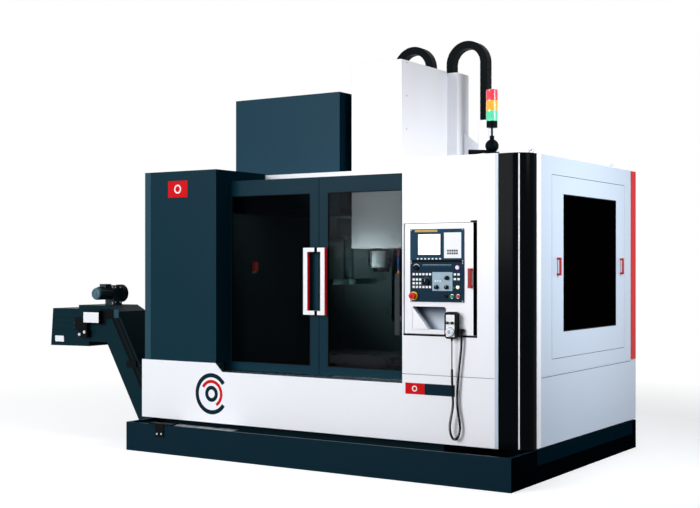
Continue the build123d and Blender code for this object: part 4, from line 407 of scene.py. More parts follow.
def turned(name, places, axis, profile, mat, body="frame", sides=32, closed=False):
    """Round pieces in one mesh, one at each place, from (radius, height) points along an axis."""
    turn = Vector(axis).normalized().to_track_quat("Z", "Y").to_matrix()
    points, faces = [], []
    for at in places:
        first = len(points)
        for radius, height in profile:
            for i in range(sides):
                a = 2 * math.pi * i / sides
                spoke = Vector((radius * math.cos(a), radius * math.sin(a), height))
                points.append(tuple(Vector(at) + turn @ spoke))
        rows = len(profile)
        for row in range(rows if closed else rows - 1):
            low, high = first + row * sides, first + (row + 1) % rows * sides
            for i in range(sides):
                j = (i + 1) % sides
                faces.append((low + i, low + j, high + j, high + i))
        if not closed:
            faces.append(tuple(first + i for i in reversed(range(sides))))
            faces.append(tuple(first + (rows - 1) * sides + i for i in range(sides)))
    obj = mesh_piece(name, points, faces, mat, body)
    obj.data.shade_smooth()
    obj.data.set_sharp_from_angle(angle=math.radians(35))
    return obj


def ring(name, at, axis, inner, outer, length, mat, body="frame", sides=40):
    """Flat-ended tube that starts at a place and runs along an axis."""
    profile = [(outer, 0), (outer, length), (inner, length), (inner, 0)]
    return turned(name, [at], axis, profile, mat, body, sides, closed=True)


def rim(name, x0, x1, z0, z1, y0, y1, width, mat, body="frame", edge=0.0):
    """Rectangular frame in the front's plane, drawn inwards from its outline."""
    low, high = z0 + width, z1 - width
    bars = [
        (x0, x1, y0, y1, high, z1), (x0, x1, y0, y1, z0, low),
        (x0, x0 + width, y0, y1, low, high), (x1 - width, x1, y0, y1, low, high),
    ]
    return blocks(name, bars, mat, body, edge)


def side_rim(name, y0, y1, z0, z1, x0, x1, width, mat, body="frame", edge=0.0):
    """Rectangular frame in the side's plane, drawn inwards from its outline."""
    low, high = z0 + width, z1 - width
    bars = [
        (x0, x1, y0, y1, high, z1), (x0, x1, y0, y1, z0, low),
        (x0, x1, y0, y0 + width, low, high), (x0, x1, y1 - width, y1, low, high),
    ]
    return blocks(name, bars, mat, body, edge)


def flat_ring(name, x, z, y, inner, outer, start, end, thick, mat, body="frame"):
    """Flat arc on a plane facing the front, between two angles in degrees."""
    steps = max(6, int(abs(end - start) / 4))
    points = []
    for i in range(steps + 1):
        a = math.radians(start + (end - start) * i / steps)
        for radius in (inner, outer):
            for depth in (y, y - thick):
                points.append((x + radius * math.cos(a), depth, z + radius * math.sin(a)))
    faces = []
    for i in range(steps):
        a, b = 4 * i, 4 * i + 4
        faces.append((a + 1, b + 1, b + 3, a + 3))
        faces.append((a, a + 2, b + 2, b))
        faces.append((a, b, b + 1, a + 1))
        faces.append((a + 2, a + 3, b + 3, b + 2))
    faces.append((0, 1, 3, 2))
    last = 4 * steps
    faces.append((last, last + 2, last + 3, last + 1))
    return mesh_piece(name, points, faces, mat, body)


def dial_ticks(name, x, z, y, radius, length, start, end, count, mat, body):
    """Short printed strokes around a dial."""
    strokes = []
    for i in range(count):
        angle = start + (end - start) * i / (count - 1)
        a = math.radians(angle)
        cx, cz = x + radius * math.cos(a), z + radius * math.sin(a)
        strokes.append((cx - length / 2, cx + length / 2, y - 0.4, y, cz - 0.6, cz + 0.6, angle))
    return blocks(name, strokes, mat, body)


def facing_right(normal):
    """Whether a face looks to the machine's right."""
    return normal.x > 0.9


def proud_of(centre, plane):
    """Whether a face stands in front of a plane."""
    return centre.y < plane - 0.2


def near(centre, place, reach):
    """Whether a face lies within a distance of a place on the control panel."""
    return math.hypot(centre.x - place[0], centre.z - place[1]) < reach


def on_shelf(centre):
    """Whether a face belongs to the recess under the key panel."""
    left, right, low, high = SHELF
    slack = 2
    inside = left - slack < centre.x < right + slack and low - slack < centre.z < high + slack
    return inside and centre.y > FRONT + slack


def on_key_row(centre):
    """Whether a face belongs to the small square keys of the lower panel."""
    block_keys = 700 < centre.x < 845 and 1196 < centre.z < 1300
    axis_keys = 1000 < centre.x < 1050 and 1245 < centre.z < 1300
    return (block_keys or axis_keys) and centre.y > UNIT_FACE - 2.8


def on_dial_field(centre):
    """Whether a face belongs to the raised plate around the three dials."""
    return 849 < centre.x < 995 and centre.z > 1182 and centre.y > UNIT_FACE - 1.8


def on_soft_keys(centre):
    """Whether a face belongs to the dark keys beside the screen."""
    return 956 < centre.x < 1030 and 1412 < centre.z < 1445


# Finishes of the enclosure and its base
# Faces that look to the right on the tray, the cabinet and the magazine cover take painted shade:
# darker copies of their paint
finish_node("coolant_tray", (NAVY_SHADE, lambda c, n: facing_right(n) and c.x > 1500), (NAVY, None))
finish_node("left_cabinet", (TEAL_SHADE, lambda c, n: facing_right(n) and c.x > -930), (TEAL, None))
finish_node("magazine_cover", (TEAL_SHADE, lambda c, n: facing_right(n)), (BOX_TEAL, None))
finish_node("chain_duct", (ICE, lambda c, n: n.z > 0.5), (WHITE, None))
finish_node("hatch_frame", (RED, lambda c, n: c.x > SIDE + 0.2), (ICE, None))
finish_node("electrical_door", (RED, lambda c, n: c.y > 1369), (ICE, None))
plain(TEAL, "left_door", "right_door")
plain(BLACK, "corner_column")
plain(WHITE, "lower_front_panel", "right_front_panel", "head_cover", "roof_panel")
plain(ICE, "side_panel", "rear_panel", "electrical_cabinet")
plain(LINER, "splash_liner")
plain(DOOR_GLASS, "left_glass", "right_glass")
plain(HATCH_GLASS, "hatch_glass")

# Finishes of the machine inside and of the conveyor
plain(CASTING, "machine_bed", "column", "saddle", "spindle_head")
plain(GEAR_CASTING, "magazine_frame", "tool_arm")
plain(STEEL, "table", "guide_rails", "x_screw", "y_screw", "z_screw", "leveling_feet")
plain(STEEL, "spindle_shaft", "door_sill", "door_header")
plain(DARK_STEEL, "tool_disc", "conveyor_belt")
plain(CHAIN, "head_chain", "roof_chain", "lamp_post", "feed_motors")
plain(MOTOR, "coolant_pump")
finish_node("conveyor_drive", (CONV_TEAL, lambda c, n: c.y < CONV_FACE + 5), (STEEL, None))
finish_node("conveyor_motor", (PLASTIC, lambda c, n: c.y > -471), (MOTOR, None))
finish_node("conveyor_housing", (PLASTIC, lambda c, n: c.y < CONV_FACE - 1), (CONV_TEAL, None))

# Finishes of the lamp and the door handles
lens_low, lens_high = edges("lamp_lenses")
lens_step = (lens_high[2] - lens_low[2]) / 3
finish_node(
    "lamp_lenses",
    (LENS_RED, lambda c, n: c.z > lens_low[2] + 2 * lens_step),
    (LENS_AMBER, lambda c, n: c.z > lens_low[2] + lens_step),
    (LENS_GREEN, None),
)
# Handle sides are red along the grip; at the ends they take black seal rubber as painted shade
HANDLE_END = 60.0
for side in ("left", "right"):
    low, high = edges(side + "_handle")
    grip_low, grip_high = low[2] + HANDLE_END, high[2] - HANDLE_END
    finish_node(
        side + "_handle",
        (RED_SIDE, lambda c, n: abs(n.x) > 0.5 and grip_low < c.z < grip_high),
        (SEAL, lambda c, n: abs(n.x) > 0.5),
        (KEY_WHITE, None),
    )

# Finishes of the controls
plain(RED, "emergency_stop", "stop_button")
plain(GREEN, "start_button")
plain(PLASTIC, "feed_knob", "spindle_knob")
plain(KEY_WHITE, "handwheel")
finish_node(
    "operator_box",
    (RED_GRIP, lambda c, n: proud_of(c, FRONT) and c.x > GRIP_LEFT),
    (PLASTIC, lambda c, n: proud_of(c, FRONT)),
    # The box's right side, in the gap, takes painted shade
    (NAVY_SHADE, lambda c, n: facing_right(n) and c.x > BOX_SIDE),
    # Inner faces of the recess under the key panel take the painted shade
    (RECESS_SHADE, lambda c, n: on_shelf(c)),
    (WHITE, None),
)
finish_node(
    "cnc_unit",
    (SCREEN, lambda c, n: abs(c.y - UNIT_FACE - 3) < 0.2),
    (KEY_DARK, lambda c, n: proud_of(c, UNIT_FACE) and on_soft_keys(c)),
    (KEY_WHITE, lambda c, n: proud_of(c, UNIT_FACE)),
    (UNIT_BLUE, None),
)
finish_node(
    "key_panel",
    (YELLOW, lambda c, n: proud_of(c, UNIT_FACE) and near(c, ESTOP, 30)),
    (LILAC, lambda c, n: proud_of(c, UNIT_FACE) and near(c, POWER_LIGHT, 14)),
    (CREAM, lambda c, n: proud_of(c, UNIT_FACE) and near(c, LIGHT_BUTTON, 12)),
    (KEY_WHITE, lambda c, n: proud_of(c, UNIT_FACE) and on_key_row(c)),
    (FIELD, lambda c, n: proud_of(c, UNIT_FACE) and on_dial_field(c)),
    (PLASTIC, lambda c, n: proud_of(c, UNIT_FACE)),
    (UNIT_DARK, None),
)
finish_node(
    "pendant",
    (KEY_WHITE, lambda c, n: -883 < c.y < -881.2 and n.y < -0.9),
    (PLASTIC, None),
)


def shelf_trim():
    """Slanted floor and rounded corner of the recess under the key panel."""
    left, right, low, high = SHELF
    slant, depth, over = 118.0, 40.0, 1
    corner = [(left - over, high - 2), (left - over, low - over), (left + slant, low - over)]
    points = [(x, y, z) for y in (FRONT, FRONT + depth) for x, z in corner]
    faces = [(0, 1, 2), (3, 5, 4), (0, 3, 4, 1), (1, 4, 5, 2), (2, 5, 3, 0)]
    mesh_piece("shelf_slant", points, faces, WHITE, "operator_panel")
    radius, steps = 24.0, 8
    arc = [(right + over, high + over)]
    for i in range(steps + 1):
        a = math.radians(90 * i / steps)
        arc.append((right - radius + radius * math.cos(a), high - radius + radius * math.sin(a)))
    points = [(x, y, z) for y in (FRONT, FRONT + depth) for x, z in arc]
    count = len(arc)
    sides = [(i, (i + 1) % count, (i + 1) % count + count, i + count) for i in range(count)]
    fans = [(0, i, i + 1) for i in range(1, count - 1)]
    fans += [(count, count + i + 1, count + i) for i in range(1, count - 1)]
    mesh_piece("shelf_corner", points, sides + fans, WHITE, "operator_panel")


def enclosure_trim():
    """Plates, folds, seals and marks on the sheet-metal enclosure; strips of painted light and
    shade on two folds, and painted shade in the operator box's gap.
    """
    plate_low, plate_high, plate_split = 517, 589, 789
    fold_low, fold_high = PANEL_FOOT + 2, PANEL_TOP - 2
    slab("badge_plate", -1375, -1191, FRONT - PLATE, FRONT, 1841, 1963, RED_PAINT, edge=0.8)
    flat_ring("badge_ring", *BADGE, FRONT - PLATE, 22, 33, 0, FULL_TURN, PRINT, KEY_WHITE)
    slab("name_plate_red", 647, plate_split, FRONT - PLATE, FRONT, plate_low, plate_high, RED_PAINT,
         edge=0.6)
    flat_ring("name_plate_ring", *NAME_RING, FRONT - PLATE, 12, 19, 0, FULL_TURN, PRINT, KEY_WHITE)
    slab("name_plate_blue", plate_split, 1007, FRONT - PLATE, FRONT, plate_low, plate_high, NAVY,
         edge=0.6)
    slab("rear_trim", SIDE, SIDE + PLATE, 962, 1066, 655, 2034, RED_PAINT, edge=0.6)
    slab("side_fold", SIDE, SIDE + 1.6, -702, -640, fold_low, fold_high, WHITE, edge=0.8)
    slab("front_seam", 624, 1283, FRONT - 0.5, FRONT, 643, 646, SEAM)
    shelf_trim()
    slab("side_seam", SIDE, SIDE + 0.6, -636, 960, 643, 647, SEAM)
    # Lighter strip on the cabinet's front bend: painted highlight
    slab("cabinet_fold_highlight", LEFT_WALL + 1, LEFT_WALL + 58, FRONT - 1, FRONT, 645, 2032, TEAL_LIGHT,
         edge=0.5)
    # Pale blue strip on the right front panel's rounded edge: painted shade on the white fold
    slab("panel_fold_shade", 1284, 1307, FRONT - 1, FRONT, fold_low, PANEL_TOP, ICE, edge=0.5)
    gap_left, gap_right, gap_low, gap_high = 1139, 1163, 905, 1614
    slab("box_seal_line", 633, gap_right, FRONT - 1.5, FRONT, 893, 904, SEAL, edge=0.4)
    # Dark sheets that close the gap beside the operator box: painted shade
    slab("box_gap_end_shade", gap_right - 3, gap_right, FRONT + 1, -760, gap_low, gap_high, NAVY_SHADE)
    slab("box_gap_back_shade", gap_left, gap_right, -704, -700, gap_low, gap_high, NAVY_SHADE)
    slab("box_gap_cap", 1118, gap_right, FRONT - 1.5, FRONT, gap_high + 1, 1626, SEAL, edge=0.4)
    flat_ring("emblem_ring", *EMBLEM, FRONT, 118, 148, 35, 325, LABEL, NAVY)
    flat_ring("emblem_arc", *EMBLEM, FRONT, 78, 100, -60, 150, LABEL, RED_PAINT)
    flat_ring("emblem_core", *EMBLEM, FRONT, 30, 58, 0, FULL_TURN, LABEL, NAVY)


def column_stripe():
    """Pale stripe in the groove of the corner column."""
    middle_x, middle_y = 1394, -712
    angle, reach = math.radians(25), 113.2
    stripe = slab("corner_stripe", -4.2, 4.2, -1.5, 1.5, 220, 2030, KEY_WHITE)
    stripe.parent = None
    place = Vector((middle_x + reach * math.sin(angle), middle_y - reach * math.cos(angle), 0)) * MM
    stripe.matrix_world = Matrix.Translation(place) @ Matrix.Rotation(angle, 4, "Z")
    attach(stripe, "frame")


def door_trim():
    """Rubber lips around the door windows and a seal between the leaves."""
    seat = 12
    for side, body in (("left", "left_leaf"), ("right", "right_leaf")):
        low, high = edges(side + "_glass")
        rim(side + "_window_seal", low[0] + seat, high[0] - seat, low[2] + seat, high[2] - seat,
            DOOR_FACE - 0.8, DOOR_FACE + 3, 5, SEAL, body, edge=0.6)
    slab("meeting_seal", -142, -138.6, DOOR_FACE + 6, DOOR_FACE + 24, 590, 1950, SEAL, "left_leaf")


def hatch_trim():
    """Seals around the side hatch and its window."""
    seat = 12
    side_rim("hatch_seal", -471.6, 829.6, 750.4, 1920.6, SIDE - 6, SIDE - 1.5, 2.2, SEAL)
    low, high = edges("hatch_glass")
    side_rim("hatch_window_seal", low[1] + seat, high[1] - seat, low[2] + seat, high[2] - seat,
             SIDE - 4, SIDE + 1, 6, SEAL, "side_hatch", edge=0.6)


def head_trim():
    """Screws on the head cover, coolant nozzles and blow pipes around the spindle."""
    side_x, screw_y, front_y, screw_z = 54.5, 204, 131, 1554
    screws = [(side_x, screw_y, z) for z in (2854, 2608, 2359, 1900, 1560)]
    turned("head_cover_screws", screws, TO_RIGHT, SCREW_HEAD, STEEL, "head", sides=12)
    screws = [(x, front_y, screw_z) for x in (-11, -330)]
    turned("head_front_screws", screws, TO_FRONT, SCREW_HEAD, DARK_STEEL, "head", sides=12)
    pipes = [(-262, 200, HEAD_FOOT), (-72, 170, HEAD_FOOT)]
    pipe = [(14, 0), (14, 118), (9, 128), (5, 134), (5, 140)]
    turned("blow_pipes", pipes, DOWN, pipe, STEEL, "head", sides=20)
    collar = [(90, 0), (90, 10), (84, 16), (84, 20), (81, 20), (81, 0)]
    turned("spindle_collar", [(*SPINDLE, HEAD_FOOT)], DOWN, collar, STEEL, "head", closed=True)
    nozzle = [(*NOZZLE, HEAD_FOOT)]
    fitting = [(17, 0), (17, 22), (13, 26), (13, 50)]
    turned("nozzle_fitting", nozzle, DOWN, fitting, BRASS_BROWN, "head", sides=6)
    hose_start, bead_length, bead_count = 48, 20, 6
    beads = []
    for i in range(bead_count):
        top = hose_start + bead_length * i
        beads += [(9, top), (14, top + 5), (14, top + 15), (9, top + bead_length)]
    turned("nozzle_hose", nozzle, DOWN, beads, HOSE_BLUE, "head", sides=20)
    tip_z = HEAD_FOOT - hose_start - bead_length * bead_count + 2
    tip = [(13, 0), (13, 16), (7, 44), (5, 62)]
    lean = (-0.35, 0.1, -1)
    turned("nozzle_tip", [(*NOZZLE, tip_z)], lean, tip, HOSE_ORANGE, "head", sides=20)


def room_details():
    """What shows inside: lamp, gearbox flange, wash gun with a painted glow, a strip of painted
    light on the right leaf, and joints of the liner sheets.
    """
    ring("gearbox_flange", (-465, 219, 1570), DOWN, 36, 62, 26, STEEL, sides=36)
    slab("room_lamp_bar", 560, 618, -594, -566, 1380, 1760, KEY_WHITE, edge=3)
    slab("wash_gun_holder", -1150, -1140, -130, -66, 1280, 1300, STEEL, edge=2)
    # Wash gun with a painted glow
    slab("wash_gun", -1140, -1112, -122, -76, 1298, 1370, GUN_RED_GLOW, edge=6)
    # Glowing strip on the right leaf's inner side: painted light for the lit inner wall
    slab("inner_painted_light_strip", 461, 498, -652, -648, 880, 1290, PAINTED_LIGHT_STRIP, "right_leaf", edge=2)
    seams = [(x, x + 8, LINER_FACE - 1.4, LINER_FACE, 430, 1545) for x in (-860, 380, 900)]
    blocks("liner_seams", seams, DARK_STEEL, edge=0.5)


def tray_details():
    """Bracket and strainer at the tray's front, and a plate in painted shade on its right side."""
    skin = TRAY_FRONT - 8
    slab("tray_bracket", -1280, -1200, skin, TRAY_FRONT, 118, TRAY_TOP + 2, SEAL, edge=1.5)
    slab("tray_bracket_top", -1340, -1130, skin, TRAY_FRONT + 50, TRAY_TOP, TRAY_TOP + 10, SEAL,
         edge=1.5)
    screws = [(-1260, skin, 140), (-1220, skin, 142)]
    turned("tray_bracket_screws", screws, TO_FRONT, SCREW_HEAD, KEY_GREY, sides=12)
    slab("tray_strainer", -1240, -700, -1046, -850, 178, 186, STEEL, edge=1)
    # Plate on the tray's right side in the teal painted shade
    slab("tray_side_plate", TRAY_SIDE, TRAY_SIDE + 1.5, -700, 990, 108, TRAY_TOP - 2, TEAL_SHADE,
         edge=0.6)


def screen_details():
    """Fields, bezel and marks of the screen unit."""
    body, face = "operator_panel", UNIT_FACE
    slab("keyboard_plate", 934, 1056, face - LABEL, face, 1390, 1552, KEY_WHITE, body, edge=0.4)
    slab("maker_stripe", 722, 886, face - PRINT, face, 1557, 1571, GOLD, body, edge=0.3)
    rim("screen_bezel", 737, 913, 1406, 1549, face - 2, face, 6, UNIT_DARK, body, edge=0.8)
    glass = face + 3
    line_face = glass - 0.6
    lines = [(752, 898, line_face, glass, z, z + 1.6) for z in (1430, 1446, 1452, 1520)]
    lines += [(820, 842, line_face, glass, 1500, 1514), (868, 884, line_face, glass, 1502, 1514)]
    blocks("screen_lines", lines, SCREEN_MARK, body)
    marks = [(812, 850, glass - 0.8, glass, 1496, 1522), (864, 888, glass - 0.8, glass, 1496, 1520)]
    blocks("screen_marks", marks, SCREEN_TINT, body)
    slab("unit_split_line", 688, 1072, face - 0.6, face, 1364, 1380, SEAL, body)
    corners = [(x, face, z) for x in (694, 1066) for z in (1119, 1358, 1372, 1569)]
    screw = [(3.4, 0), (3.4, 1), (2.2, 1.6), (1.2, 1.6), (1.2, 0.6)]
    turned("unit_screws", corners, TO_FRONT, screw, STEEL, body, sides=10)


def key_panel_details():
    """Printed fields, dial marks and small hardware of the lower key panel."""
    body, face = "operator_panel", UNIT_FACE
    row = [(778 + 26 * i, 796 + 26 * i, face - 1, face, 1333, 1341) for i in range(8)]
    blocks("indicator_row", row, UNIT_BLUE, body, edge=0.4)
    blocks("indicator_line", [(777, 986, face - 0.5, face, 1346, 1349)], FIELD, body)
    flat_ring("key_lock_arc", *KEY_LOCK, face, 20, 24, 20, 165, 0.6, KEY_GREY, body)
    dial_ticks("mode_ticks", *MODE_DIAL, face, 27, 5, 20, 160, 7, KEY_GREY, body)
    flat_ring("estop_ring", *ESTOP, face, 29, 34, 0, FULL_TURN, 1.0, PLASTIC, body)
    plate = face - 1.5
    dial_ticks("feed_ticks", *FEED_DIAL, plate, 19, 5, -30, 210, 13, UNIT_DARK, body)
    dial_ticks("speed_ticks", *SPEED_DIAL, plate, 19, 5, -30, 210, 9, UNIT_DARK, body)
    dial_ticks("rapid_ticks", *RAPID_DIAL, plate, 19, 5, 20, 160, 4, UNIT_DARK, body)
    cap = face - 21
    for name, (x, z), tall in (("rapid", RAPID_DIAL, 11), ("mode", MODE_DIAL, 18)):
        slab(name + "_pointer", x - 3, x + 3, cap, cap + 5, z - tall / 2, z + tall, PLASTIC, body,
             edge=1)
        slab(name + "_pointer_mark", x - 0.8, x + 0.8, cap - 0.4, cap, z, z + tall - 1, KEY_WHITE,
             body)
    keys = [(868 + 17 * i, 878 + 17 * i, plate - 1.4, plate, 1240, 1250) for i in range(3)]
    blocks("field_keys", keys, KEY_WHITE, body, edge=0.5)
    lamp = [(6, 0), (6, 3), (4, 5), (1, 5.5)]
    turned("field_lamp", [(1002, face, 1203)], TO_FRONT, lamp, GREEN, body, sides=20)
    knob_face = face - 20
    for name, (x, z) in (("feed", FEED_DIAL), ("spindle", SPEED_DIAL)):
        slab(name + "_knob_mark", x - 0.8, x + 0.8, knob_face - 0.4, knob_face, z + 2, z + 11,
             KEY_WHITE, name + "_selector")
    for name, x in (("start", START_X), ("stop", STOP_X)):
        ring(name + "_bezel", (x, face, START_Z), TO_FRONT, 11.6, 14, 2.4, STEEL, body, sides=28)
    cap = [(14, 0), (13, 1), (9, 1.6), (2, 1.8)]
    turned("estop_arrow_cap", [(ESTOP[0], ESTOP_CAP, ESTOP[1])], TO_FRONT, cap, RED_PAINT,
           "emergency_button", sides=28)


def pendant_details():
    """Dials, wheel face and holder of the hand pendant."""
    body = "operator_panel"
    shell, dial_z = -882.5, 985
    dials = [(x, -894, dial_z) for x in (986, 1020)]
    dial_cap = [(9.5, 0), (9.5, 3), (8, 5), (3, 5.5)]
    turned("pendant_dial_caps", dials, TO_FRONT, dial_cap, PLASTIC, body, sides=20)
    marks = [(x - 0.7, x + 0.7, -900, -899.4, dial_z, dial_z + 7) for x, _, _ in dials]
    blocks("pendant_dial_marks", marks, KEY_WHITE, body)
    lines = [(980, 1026, shell - 0.7, shell, z, z + 2) for z in (1008, 1014, 1026)]
    blocks("pendant_lines", lines, KEY_GREY, body)
    low, high = edges("handwheel")
    wheel_x, wheel_y, wheel_z = (low[0] + high[0]) / 2, -896.9, (low[2] + high[2]) / 2
    hub = [(13, 0), (12, 1.4), (5, 2)]
    turned("wheel_hub", [(wheel_x, wheel_y, wheel_z)], TO_FRONT, hub, FIELD, "jog_wheel", sides=28)
    dial_ticks("wheel_ticks", wheel_x, wheel_z, wheel_y, 23, 5, 0, 345, 24, UNIT_DARK, "jog_wheel")
    ring("wheel_seat", (wheel_x, shell, wheel_z), TO_FRONT, 26.5, 29.5, 2.2, PLASTIC, body)
    ribs = [(6.8 + 0.9 * (i % 2), 4 * i) for i in range(7)]
    sleeve = [(10, -2)] + ribs + [(5.4, 28)]
    turned("gland_sleeve", [(1066, -850, 914)], DOWN, sleeve, SEAL, body, sides=20)


def incline_trim(face):
    """Dark band and raised rails along the conveyor's slope."""
    lean = 30.0
    slope = math.radians(90 - lean)
    foot_x, floor_z = -1700, 14
    top_z, foot_z = 935.0, 330.0
    mid_z = (top_z + foot_z) / 2
    half = (top_z - foot_z) / 2 / math.cos(math.radians(lean))

    def rail(offset, width, depth):
        mid_x = foot_x - (mid_z - floor_z) / math.tan(slope) + offset / math.sin(slope)
        left, right = mid_x - width / 2, mid_x + width / 2
        return left, right, face - depth, face, mid_z - half, mid_z + half, lean

    blocks("incline_band", [rail(184, 78, 4)], SEAL, edge=0.8)
    rails = [rail(143, 8, 9), rail(188, 7, 9), rail(225, 9, 9)]
    blocks("incline_rails", rails, CONV_TEAL, edge=0.8)
    slab("incline_bracket", -1900, -1800, face - 16, face, 560, 612, SEAL, edge=2)


def motor_trim(face):
    """Fan cap, fins, terminal box and bolts of the conveyor's gear motor."""
    x, z = CONV_MOTOR
    cap = [(46, 0), (46, 10), (40, 18), (30, 20), (30, 17), (18, 17), (18, 20), (3, 20)]
    turned("motor_fan_cap", [(x, face, z)], TO_FRONT, cap, MOTOR_CAP, sides=36)
    fin_reach = 49
    fins = []
    for i in range(14):
        angle = -40 + 20 * i
        a = math.radians(angle)
        fin_x, fin_z = x + fin_reach * math.cos(a), z + fin_reach * math.sin(a)
        fins.append((fin_x - 6, fin_x + 6, face + 14, face + 112, fin_z - 1.2, fin_z + 1.2, angle))
    blocks("motor_fins", fins, MOTOR)
    slab("motor_terminal_box", x - 35, x + 31, face + 62, face + 128, z + 40, z + 76, MOTOR, edge=3)
    bolts = [(x + dx, -562, z + dz) for dx in (-38, 37) for dz in (-76, 52)]
    bolt = [(8, 0), (8, 7), (4, 7), (4, 3)]
    turned("gearbox_bolts", bolts, TO_FRONT, bolt, KEY_GREY, sides=6)
    bolts = [(x + 47, y, z + dz) for y in (-545, -490) for dz in (-70, 48)]
    bolt = [(7, 0), (7, 6), (3, 6), (3, 3)]
    turned("gearbox_side_bolts", bolts, TO_RIGHT, bolt, KEY_GREY, sides=6)
    hub = [(30, 0), (30, 6), (12, 9), (3, 9)]
    turned("guard_hub", [(x, -420, z)], TO_REAR, hub, MOTOR, sides=28)


def conveyor_details():
    """Plates, ribs and buttons of the chip conveyor, then its slope and its motor."""
    face = CONV_FACE
    skin = face - 4
    slab("conveyor_sign_box", -2334, -2160, -743, face, 890, 988, SEAL, edge=2)
    slab("conveyor_sign", -2330, -2166, -745, -743, 895, 976, KEY_WHITE, edge=0.6)
    slab("conveyor_label", -2688, -2590, skin, face, 732, 779, KEY_WHITE, edge=1)
    plates = [(-2193, -2040, skin, face, 926, 1000), (-2193, -2133, skin, face, 876, 926)]
    blocks("conveyor_black_plates", plates, SEAL, edge=1)
    slab("conveyor_cheek", -2040, -1990, skin - 2, face, 936, 1000, TEAL_LIGHT, edge=1)
    box_face = -748
    slab("conveyor_button_box", -2392, -2290, box_face, face, 778, 836, SEAL, edge=3)
    buttons = [(-2312, box_face, 819), (-2366, box_face, 800)]
    button = [(13, 0), (13, 7), (10, 10), (2, 11)]
    turned("conveyor_buttons", buttons, TO_FRONT, button, KEY_GREY, sides=24)
    slab("conveyor_box_lid", -2424, -2306, -743, -740, 838, 926, SEAL, edge=1)
    screws = [(x, -743, z) for x in (-2416, -2344) for z in (846, 918)]
    screw = [(5, 0), (5, 2), (2.5, 2), (2.5, 1)]
    turned("conveyor_lid_screws", screws, TO_FRONT, screw, DARK_CASTING, sides=12)
    ribs = [(-2700, -2440, skin + 2, face, z, z + 5) for z in (828, 880, 928)]
    blocks("conveyor_ribs", ribs, NAVY, edge=0.8)
    incline_trim(face)
    # Thin steel strip along the raised cover's end: painted highlight on its edge
    slab("head_cover_edge_highlight", -2100, -2092, face, face + 320, 1000, 1009, STEEL, edge=1)
    motor_trim(face)


def roof_details():
    """Lifting eyes on the roof, and the cap and ribs of the signal lamp."""
    roof_z = 2025
    foot = [(26, 0), (26, 8), (16, 12), (3, 12)]
    for i, (x, y) in enumerate(((1380, -500), (1380, 900), (-1520, 900))):
        turned("lifting_eye_foot_%d" % i, [(x, y, roof_z)], UP, foot, STEEL, sides=24)
        bpy.ops.mesh.primitive_torus_add(
            major_radius=22 * MM, minor_radius=6 * MM, major_segments=28, minor_segments=10,
            location=(x * MM, y * MM, (roof_z + 32) * MM), rotation=(math.radians(90), 0, 0),
        )
        eye = bpy.context.object
        eye.name = "lifting_eye_%d" % i
        eye.data.shade_smooth()
        place_piece(eye, STEEL, "frame")
    low, high = edges("lamp_lenses")
    centre_x, centre_y = (low[0] + high[0]) / 2, (low[1] + high[1]) / 2
    top = [(36, 0), (35, 3), (26, 6), (3, 8)]
    turned("lamp_top", [(centre_x, centre_y, high[2])], UP, top, LENS_RED)
    lens_pitch, wave_start, wave_pitch = 64, 6, 6.2
    skin, crest, inside = 36.1, 36.9, 35.5
    waves = []
    for k in range(9):
        height = wave_start + wave_pitch * k
        waves += [(skin, height - 1.6), (crest, height)]
    waves += [(skin, height + 1.6), (inside, height + 1.6), (inside, wave_start - 1.6)]
    for i, mat in enumerate((LENS_GREEN, LENS_AMBER, LENS_RED)):
        place = (centre_x, centre_y, low[2] + lens_pitch * i)
        turned("lens_waves_%d" % i, [place], UP, waves, mat, sides=40, closed=True)


def rear_details():
    """Vents, latch and glands of the electrical cabinet, the pump's top and the rails' screws."""
    door, skin = "cabinet_door", CABINET_SKIN
    size, border = 170, 12
    for i, (x, z) in enumerate(((470, 1560), (1010, 1560), (470, 470), (1010, 470))):
        rim("vent_frame_%d" % i, x, x + size, z, z + size, skin, skin + 6, border, PLASTIC, door,
            edge=1)
        slats = []
        for k in range(12):
            low = z + 18 + 12 * k
            slats.append((x + border, x + size - border, skin + 1, skin + 4, low, low + 6))
        blocks("vent_slats_%d" % i, slats, PLASTIC, door, edge=0.6)
    slab("door_latch_plate", 352, 388, skin, skin + 4, 1060, 1200, STEEL, door, edge=1)
    slab("door_latch_grip", 360, 380, skin + 4, skin + 26, 1080, 1180, PLASTIC, door, edge=4)
    slab("cabinet_blank_plate", 450, 700, skin, skin + LABEL, 1300, 1380, KEY_GREY, door, edge=0.4)
    glands = [(x, 1230, 320) for x in (480, 560, 640, 720, 900)]
    gland = [(20, 0), (20, 14), (15, 16), (15, 34), (9, 40)]
    turned("cabinet_glands", glands, DOWN, gland, SEAL, sides=20)
    pump_cap = [(68, 0), (66, 8), (50, 16), (8, 18)]
    turned("pump_cap", [(-1150, 940, 315)], UP, pump_cap, MOTOR, sides=36)
    rail_screws = [(x, y, 460) for x in (-445, 115) for y in range(-300, 760, 80)]
    screw = [(9, -4), (9, 0.4), (5, 0.4), (5, -3)]
    turned("rail_screws", rail_screws, UP, screw, DARK_STEEL, sides=16)


enclosure_trim()
column_stripe()
door_trim()
hatch_trim()
head_trim()
room_details()
tray_details()
screen_details()
key_panel_details()
pendant_details()
conveyor_details()
roof_details()
rear_details()

